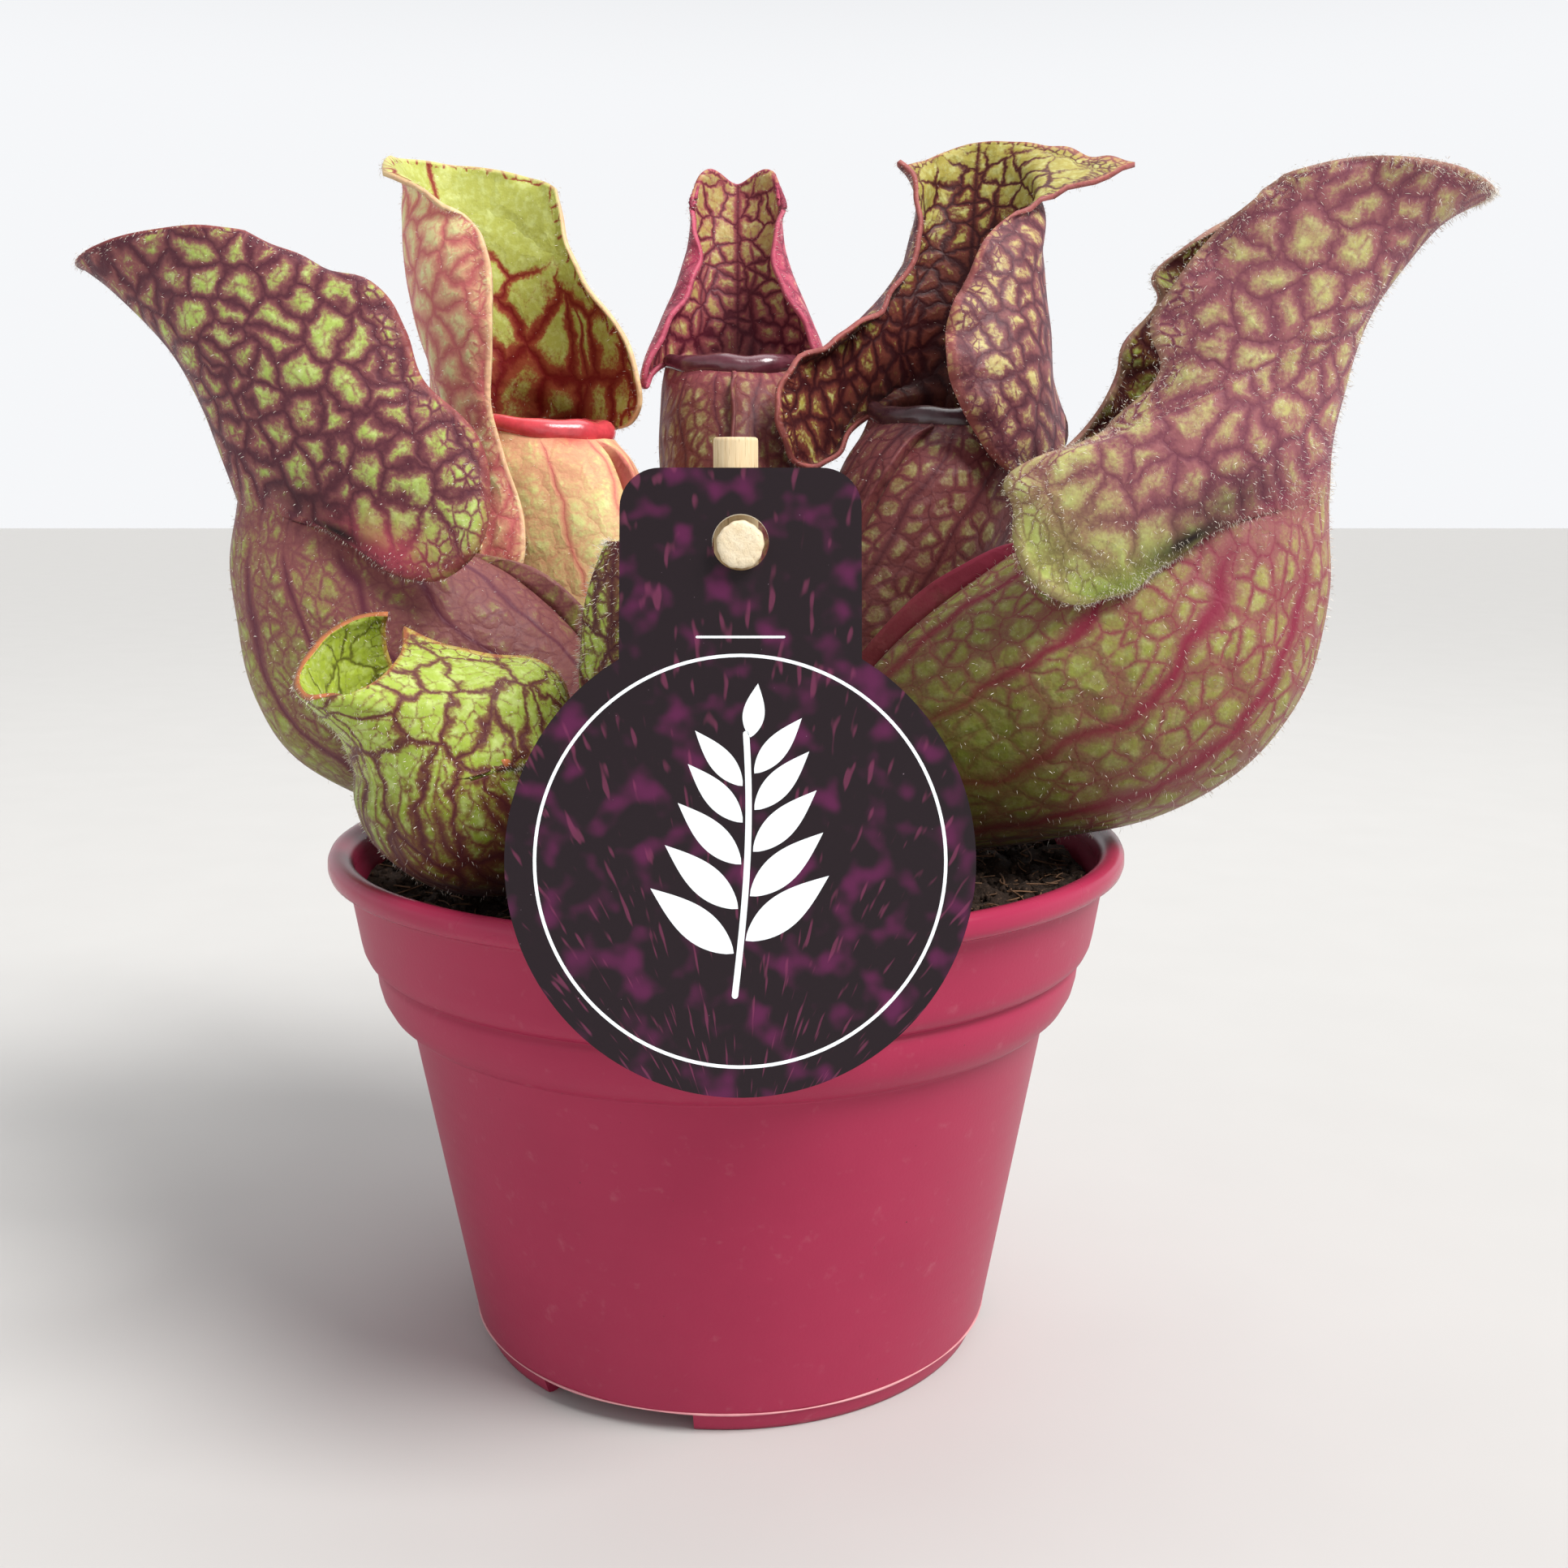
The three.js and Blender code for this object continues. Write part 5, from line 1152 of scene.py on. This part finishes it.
def soil_height(x, y):
    radius = np.hypot(x, y)
    crater = 1 - smooth_step(CROWN_RADIUS, CRATER_RADIUS, radius)
    lumps = smooth_step(CRATER_RADIUS, CRATER_RADIUS + 8, radius)
    lump = 0.5 * np.sin(0.31 * x + 0.9) * np.cos(0.27 * y) + 0.4 * np.sin(0.17 * x - 0.23 * y + 2)
    return SOIL_TOP - CRATER_DEPTH * crater + lumps * lump


def peat_skin():
    skin = Material("peat")
    color = skin.mix(skin.noise(1.2, 4), "1a1310", "3b2c22")
    color = skin.mix(skin.ease(skin.noise(0.5, 3, seed=3), 0.55, 0.75), color, "5b4637")
    color = skin.mix(skin.ease(skin.noise(2.4, 3, seed=8), 0.66, 0.76, 0, 0.7), color, "7a5f48")
    normal = skin.bump(skin.noise(0.45, 4, seed=5), 0.5, 0.9)
    return skin.finish(color, 0.92, normal, specular_ior_level=0.25)


def make_peat():
    rng = np.random.default_rng(7)
    sides = 330
    # the last two rings run down the wall, out of sight
    radii = [*np.linspace(CROWN_RADIUS + 0.3, SOIL_EDGE, 96), 55.0, 55.2]
    turns = ROUND * np.arange(sides) / sides
    x, y = (np.outer(radii, wave).ravel() for wave in (np.cos(turns), np.sin(turns)))
    z = soil_height(x, y)
    flat = np.column_stack([x, y, z * 0])
    rough = 0.55 * wobble(flat, 5.5, 1) + 0.35 * wobble(flat, 2.4, 2) + 0.22 * wobble(flat, 1.3, 3)
    clear = smooth_step(CROWN_RADIUS + 10, CRATER_RADIUS + 4, np.hypot(x, y))
    z = z + rough * (0.35 + 0.65 * clear)
    z[-sides:] = 66
    z[-2 * sides : -sides] = np.minimum(z[-2 * sides : -sides], SOIL_TOP - 0.6)
    parts = [(np.column_stack([x, y, z]), grid_faces(len(radii), sides, True))]
    # crumbs
    away = np.sqrt(rng.uniform(15**2, 54**2, CRUMBS))
    spots = np.column_stack(turned(away, 0.0, rng.uniform(0, ROUND, CRUMBS)))
    sizes = 0.3 + 0.9 * rng.random(CRUMBS) ** 2.5
    for (x, y), size in zip(spots, sizes):
        z = soil_height(x, y) + 0.2 + 0.25 * rng.random()
        shape = BLOB * rng.uniform(0.55, 1.3, 3) * size
        shape = shape @ np.linalg.qr(rng.normal(size=(3, 3)))[0]
        inward = CRUMB_EDGE / max(np.hypot(x, y) + size, CRUMB_EDGE)
        parts.append((shape + [x * inward, y * inward, z], BLOB_FACES))
    mesh_object("peat_bed", *merged(parts), peat_skin(), "soil", "peat")
    # fibres
    strands = []
    t = np.linspace(-0.5, 0.5, 6)
    for _ in range(FIBRES):
        away = math.sqrt(rng.uniform(17**2, 53**2))
        middle_x, middle_y = turned(away, 0.0, rng.uniform(0, ROUND))
        heading = rng.uniform(0, ROUND)
        length = rng.uniform(1.5, 5.5)
        x, y = turned(length * t, rng.uniform(-1.6, 1.6) * t**2, heading)
        x, y = x + middle_x, y + middle_y
        outward = np.maximum(np.hypot(x, y) / FIBRE_EDGE, 1)
        x, y = x / outward, y / outward
        z = soil_height(x, y) + 0.35 + rng.uniform(0.0, 0.7) + rng.uniform(-0.6, 0.9) * t
        strands.append(tube_along(np.column_stack([x, y, z]), rng.uniform(0.06, 0.17), 4))
    fibre = mottled_skin("peat_fibre", "3a2519", "8a6547", 3, 2, 0.85)
    mesh_object("peat_fibres", *merged(strands), fibre, slot="peat")


# The short stem that bears the leaves
def make_crown():
    share = np.linspace(0, 1, 60)
    radius = CROWN_RADIUS * np.sqrt(0.25 + 0.75 * share) + 0.35 * np.sin(share * 31)
    profile = list(zip(radius, CROWN_BOTTOM + 1 + (CROWN_TOP - 7 - CROWN_BOTTOM) * share))
    profile += [(10.6, 70.2), (9.6, 71.8), (8.0, 73.2), (6.0, 74.3), (3.6, 75.0), (1.2, 75.3), (0.05, 75.35)]
    vertices, faces = lathe(profile, 90)
    vertices[:, :2] *= np.minimum(1 + 0.05 * wobble(vertices, 5, 21)[:, None], 1.02)
    skin = Material("crown_skin")
    color = skin.mix(skin.noise(2.5, 4), "4a2a20", "8a5a3e")
    color = skin.mix(skin.ease(skin.noise(5, 2, seed=6), 0.5, 0.7, 0, 0.6), color, "6f7a35")
    material = skin.finish(color, 0.75, skin.bump(skin.noise(0.8, 4), 0.4, 0.8))
    mesh_object("crown_stem", vertices, faces, material, "crown", "crown_skin")


# The label
CARD_RADIUS, CARD_HALF_NECK, CARD_TOP, CARD_CORNER, CARD_THICKNESS = 28, 14.5, 47, 4.8, 0.6
CARD_LEAN = math.radians(13)
CARD_HOLE_RADIUS, CARD_HOLE_UP = 3.4, 38
CARD_X, CARD_Z = 3.3, 86.5
INK_THICKNESS = 0.012
STICK = {"radius": 2.75, "x": 2.6, "y": -44.5, "top": 136, "bottom": 54}
PEG_RADIUS = 2.8
PEG_PROUD = 2.4  # how far the peg stands out in front of the card
RIM_RADIUS, POT_HEIGHT, FIT_GAP = 60, 77.5, 0.3


def card_place(points):
    """From the card's own plane (x, y, height over its middle) to the pot's frame."""
    x, y, height = np.asarray(points, float).T
    back = RIM_RADIUS + FIT_GAP
    front = -back - CARD_THICKNESS / 2 / math.cos(CARD_LEAN) + (CARD_Z - POT_HEIGHT) * math.tan(CARD_LEAN)
    away, up = turned(y, height, math.pi / 2 - CARD_LEAN)
    return np.column_stack([CARD_X + x, front + away, CARD_Z + up])


def arc(x, y, radius, start, end, steps):
    turns = np.radians(np.linspace(start, end, steps))
    return list(zip(x + radius * np.cos(turns), y + radius * np.sin(turns)))


def card_outline():
    shoulder = math.degrees(math.acos(CARD_HALF_NECK / CARD_RADIUS))
    x, y = CARD_HALF_NECK - CARD_CORNER, CARD_TOP - CARD_CORNER
    disc = arc(0, 0, CARD_RADIUS, 180 - shoulder, 360 + shoulder, 120)
    return disc + arc(x, y, CARD_CORNER, 0, 90, 12) + arc(-x, y, CARD_CORNER, 90, 180, 12)


def plate(outlines, thickness, height):
    """Vertices and faces of a flat plate in the card's own plane. The first outline is its edge, and the rest
    are holes."""
    curve = bpy.data.curves.new("plate", "CURVE")
    curve.dimensions = "2D"
    curve.fill_mode = "BOTH"
    curve.extrude = thickness / 2
    for outline in outlines:
        spline = curve.splines.new("POLY")
        spline.points.add(len(outline) - 1)
        for point, (x, y) in zip(spline.points, outline):
            point.co = (x, y, 0, 1)
        spline.use_cyclic_u = True
    holder = bpy.data.objects.new("plate", curve)
    bpy.context.scene.collection.objects.link(holder)
    bpy.context.view_layer.update()
    shape = bpy.data.meshes.new_from_object(holder.evaluated_get(bpy.context.evaluated_depsgraph_get()))
    vertices = np.array([v.co for v in shape.vertices]) + [0, 0, height]
    faces = [tuple(p.vertices) for p in shape.polygons]
    bpy.data.objects.remove(holder)
    bpy.data.curves.remove(curve)
    bpy.data.meshes.remove(shape)
    return vertices, faces


def print_skin():
    """Dark plum ground with soft magenta clouds and faint streaks that rise from the foot of the card."""
    skin = Material("card_print")
    uv = skin.flat_place("card")
    from_foot = skin.vector("ADD", uv, (0, 40, 0))
    x, y, _ = skin.node("ShaderNodeSeparateXYZ", {0: from_foot})
    heading = skin.math("ARCTAN2", x, y)
    away = Value(skin, skin.vector("LENGTH", from_foot))
    fan = skin.node("ShaderNodeCombineXYZ", {0: heading * 46.0, 1: away * 0.2})[0]
    clouds, streaks, dust = (
        skin.node("ShaderNodeTexNoise", {"Vector": place, "Scale": scale, "Detail": detail})["Fac"]
        for place, scale, detail in ((uv, 0.21, 1.5), (fan, 1.0, 1.0), (uv, 2.6, 1.0))
    )
    color = skin.mix(skin.ease(clouds, 0.5, 0.72, 0, 0.85), "190a12", "5a1444")
    color = skin.mix(skin.ease(streaks, 0.62, 0.72, 0, 0.4), color, "8a3a5e")
    color = skin.mix(skin.ease(dust, 0.8, 0.84, 0, 0.55), color, "b79fae")
    return skin.finish(color, 0.42, skin.bump(skin.noise(0.25, 2), 0.01, 0.5), specular_ior_level=0.3)


def paper_skin(name, low, high, roughness, size=1.5):
    return mottled_skin(name, low, high, size, 3, roughness, (size * 0.25, 3, 0.03, 0.5))


def leaflet(x, y, length, width, heading):
    """The outline of a pointed leaf from its foot."""
    t = np.linspace(0, 1, 22)
    half = width / 2 * np.sin(np.pi * t**0.8)
    heading = math.radians(heading)
    left, right = (np.column_stack(turned(length * t, side, heading)) + [x, y] for side in (half, -half))
    return [*left, *right[::-1][1:-1]]


def stroke(points, width):
    """The outline of a line with round ends drawn through points."""
    points = np.array(points, float)
    ahead = unit(np.gradient(points, axis=0))
    side = np.column_stack([-ahead[:, 1], ahead[:, 0]]) * width / 2
    start, end = (math.degrees(math.atan2(y, x)) for x, y in (ahead[0], ahead[-1]))
    cap_start = arc(*points[0], width / 2, start + 90, start + 270, 8)
    cap_end = arc(*points[-1], width / 2, end - 90, end + 90, 8)
    return [*cap_start, *(points - side), *cap_end, *(points + side)[::-1]]


def stem_point(t):
    return 1.6 * np.sin(t * 2.2) - 0.6, -16 + 31 * t


def make_card():
    hole = arc(0, CARD_HOLE_UP, CARD_HOLE_RADIUS, 360, 7.5, 48)
    vertices, faces = plate([card_outline(), hole], CARD_THICKNESS, 0)
    edge = paper_skin("card_edge", "dfe3e4", "f7f8f8", 0.5)
    skins = [edge, print_skin(), paper_skin("card_back", "d8d2c8", "e8e4dc", 0.6, 3)]
    board = mesh_object("card_board", card_place(vertices), faces, skins, "label_card", "card", smooth=False)
    set_places(board.data, "card", vertices[np.concatenate(faces)][:, :2])
    # skin 1 on the front, 2 on the back and 0 on the edge between them
    surface = CARD_THICKNESS * 0.49
    heights = [vertices[list(face), 2].mean() for face in faces]
    indices = [1 if height > surface else 2 if height < -surface else 0 for height in heights]
    board.data.polygons.foreach_set("material_index", indices)

    # white ink: a ring, a rule and a sprig of pointed leaves
    shapes = [
        [arc(0, 0, 24.6, 0, 357, 120), arc(0, 0, 24.2, 0, 357, 120)],
        [stroke([(-5.2, 26.6), (0, 26.6), (5.2, 26.6)], 0.3)],
        [stroke(np.column_stack(stem_point(np.linspace(0, 1, 24))), 0.75)],
    ]
    for t in (0.16, 0.33, 0.5, 0.66, 0.8):
        x, y = stem_point(t)
        size = 13.5 - 6 * t, 4.4 - 2 * t
        shapes.append([leaflet(x - 0.7, y, *size, 145 - 18 * t)])
        shapes.append([leaflet(x + 0.7, y + 1.5, *size, 35 + 18 * t)])
    shapes.append([leaflet(1.2, 14.6, 6.5, 2.6, 82)])
    lift = CARD_THICKNESS / 2 + INK_THICKNESS
    vertices, faces = merged([plate(outlines, INK_THICKNESS, lift) for outlines in shapes])
    ink = paper_skin("card_ink", "e6eef2", "f6fafc", 0.4)
    mesh_object("card_motif", card_place(vertices), faces, ink, slot="card", smooth=False)


def wood_skin():
    skin = Material("stick_wood")
    along_grain = skin.vector("MULTIPLY", skin.place(), (1, 1, 0.06))
    grain = skin.noise(0.35, 3, place=along_grain)
    pores = skin.ease(skin.noise(0.22, 2, place=along_grain, seed=4), 0.62, 0.72, 0, 0.6)
    color = skin.mix(pores, skin.mix(grain, "c9a877", "f0deba"), "8c6a44")
    return skin.finish(color, 0.65, skin.bump(grain, 0.12, 0.8))


def end_skin():
    """The cut end of the dowel: pale, with pits."""
    skin = Material("peg_end")
    color = skin.mix(skin.noise(1.1, 4), "d9bf92", "f6ead0")
    pits = skin.ease(skin.noise(0.3, 2, seed=2), 0.64, 0.74, 0, 0.7)
    color = skin.mix(pits, color, "a98b63")
    return skin.finish(color, 0.75, skin.bump(skin.noise(0.5, 4), 0.15, 0.9))


def make_stick():
    r, top, bottom = STICK["radius"], STICK["top"], STICK["bottom"]
    profile = [(0.02, bottom), (r - 0.2, bottom), (r, bottom + 0.3)]
    profile += [(r, z) for z in np.linspace(bottom + 4, top - 0.5, 14)]
    profile += [(r - 0.06, top - 0.15), (r - 0.3, top), (r * 0.5, top + 0.02), (0.02, top)]
    vertices, faces = lathe(profile, 64)
    turns = np.arctan2(vertices[:, 1], vertices[:, 0])
    flute = 1 + 0.012 * np.sin(9 * turns + 1) + 0.008 * np.sin(23 * turns)
    vertices[:, :2] *= np.minimum(flute, 1.0)[:, None]
    vertices[:, :2] += [STICK["x"], STICK["y"]]
    mesh_object("stick_dowel", vertices, faces, wood_skin(), "label_stick", "wood")


def make_peg():
    _, hole_y, hole_z = card_place([[0, CARD_HOLE_UP, 0]])[0]
    front = hole_y - CARD_THICKNESS / 2 - PEG_PROUD
    length = STICK["y"] - math.sqrt(STICK["radius"] ** 2 - 1.2**2) - 0.2 - front
    r = PEG_RADIUS
    profile = [(0.02, 0), (r * 0.6, 0.03), (r - 0.35, 0.05), (r - 0.1, 0.22), (r, 0.6), (r, length * 0.5)]
    profile += [(r, length), (0.02, length)]
    vertices, faces = lathe(profile, 64)
    turns = np.arctan2(vertices[:, 1], vertices[:, 0])
    vertices[:, :2] *= (1 + 0.02 * np.sin(5 * turns) + 0.015 * np.sin(13 * turns + 2))[:, None]
    x, z, y = vertices.T
    peg = np.column_stack([CARD_X + x, front + y, hole_z - 0.2 + z])
    mesh_object("peg_dowel", peg, faces, end_skin(), "label_peg", "wood")


hair = mottled_skin("leaf_hair", "d8cdb8", "f3efe6", 6, 2, 0.5)
for leaf in LEAVES:
    skins = [leaf_skin(leaf, side) for side in ("outer", "inner", "edge")]
    make_leaf(leaf, skins, hair)
    make_lip(leaf, lip_skin(leaf))
    make_wing(leaf, skins[0])
make_pot()
make_peat()
make_crown()
make_card()
make_stick()
make_peg()

# The floor, the lights and the camera
floor = bpy.data.meshes.new("floor")
reach = 4.0
corners = [(-reach, -reach, 0), (reach, -reach, 0), (reach, reach, 0), (-reach, reach, 0)]
floor.from_pydata(corners, [], [(0, 1, 2, 3)])
floor.materials.append(mottled_skin("floor", "c2c1bf", "c6c5c3", 30, 2, 0.7))
floor_plane = bpy.data.objects.new("floor", floor)
bpy.context.scene.collection.objects.link(floor_plane)


def area_light(name, place, aim, size, power, color=(1, 1, 1)):
    """place and aim are in millimetres from the foot of the pot's axis."""
    data = bpy.data.lights.new(name, "AREA")
    data.shape = "DISK"
    data.size = size
    data.energy = power
    data.color = color
    lamp = bpy.data.objects.new(name, data)
    lamp.location = Vector(place) * MM + Vector(AXIS)
    lamp.rotation_euler = (Vector(aim) - Vector(place)).to_track_quat("-Z", "Y").to_euler()
    bpy.context.scene.collection.objects.link(lamp)


sun = bpy.data.lights.new("key", "SUN")
sun.energy = 3.7
sun.angle = math.radians(28)
sun.color = (1.0, 0.985, 0.965)
key = bpy.data.objects.new("key", sun)
key.rotation_euler = (-Vector((0.55, -0.35, 0.78))).to_track_quat("-Z", "Y").to_euler()
bpy.context.scene.collection.objects.link(key)
area_light("fill", (-700, -600, 500), (0, 0, 90), 0.9, 0.8, (0.95, 0.97, 1.0))
area_light("top", (150, 300, 900), (0, 0, 110), 0.7, 2.5)

# a white horizon under a dimmer sky
world = bpy.data.worlds.new("studio")
world.use_nodes = True
nodes = world.node_tree.nodes
links = world.node_tree.links
direction = nodes.new("ShaderNodeTexCoord")
split = nodes.new("ShaderNodeSeparateXYZ")
links.new(direction.outputs["Generated"], split.inputs[0])
strength = nodes.new("ShaderNodeMapRange")
strength.interpolation_type = "SMOOTHSTEP"
for name, value in {"From Min": 0.2, "From Max": 0.5, "To Min": 0.95, "To Max": 0.4}.items():
    strength.inputs[name].default_value = value
links.new(split.outputs[2], strength.inputs["Value"])
links.new(strength.outputs["Result"], nodes["Background"].inputs["Strength"])
nodes["Background"].inputs["Color"].default_value = (0.97, 0.98, 1.0, 1)
bpy.context.scene.world = world
bpy.context.scene.view_settings.view_transform = "Standard"

lens = bpy.data.cameras.new("camera")
lens.sensor_width = 36
lens.lens = 37.96
lens.clip_start = 0.01
camera = bpy.data.objects.new("camera", lens)
camera.location = Vector(AXIS) + Vector((8.5, -250, 131.4)) * MM
camera.rotation_euler = (math.radians(79.44), 0, 0)
bpy.context.scene.collection.objects.link(camera)
bpy.context.scene.camera = camera
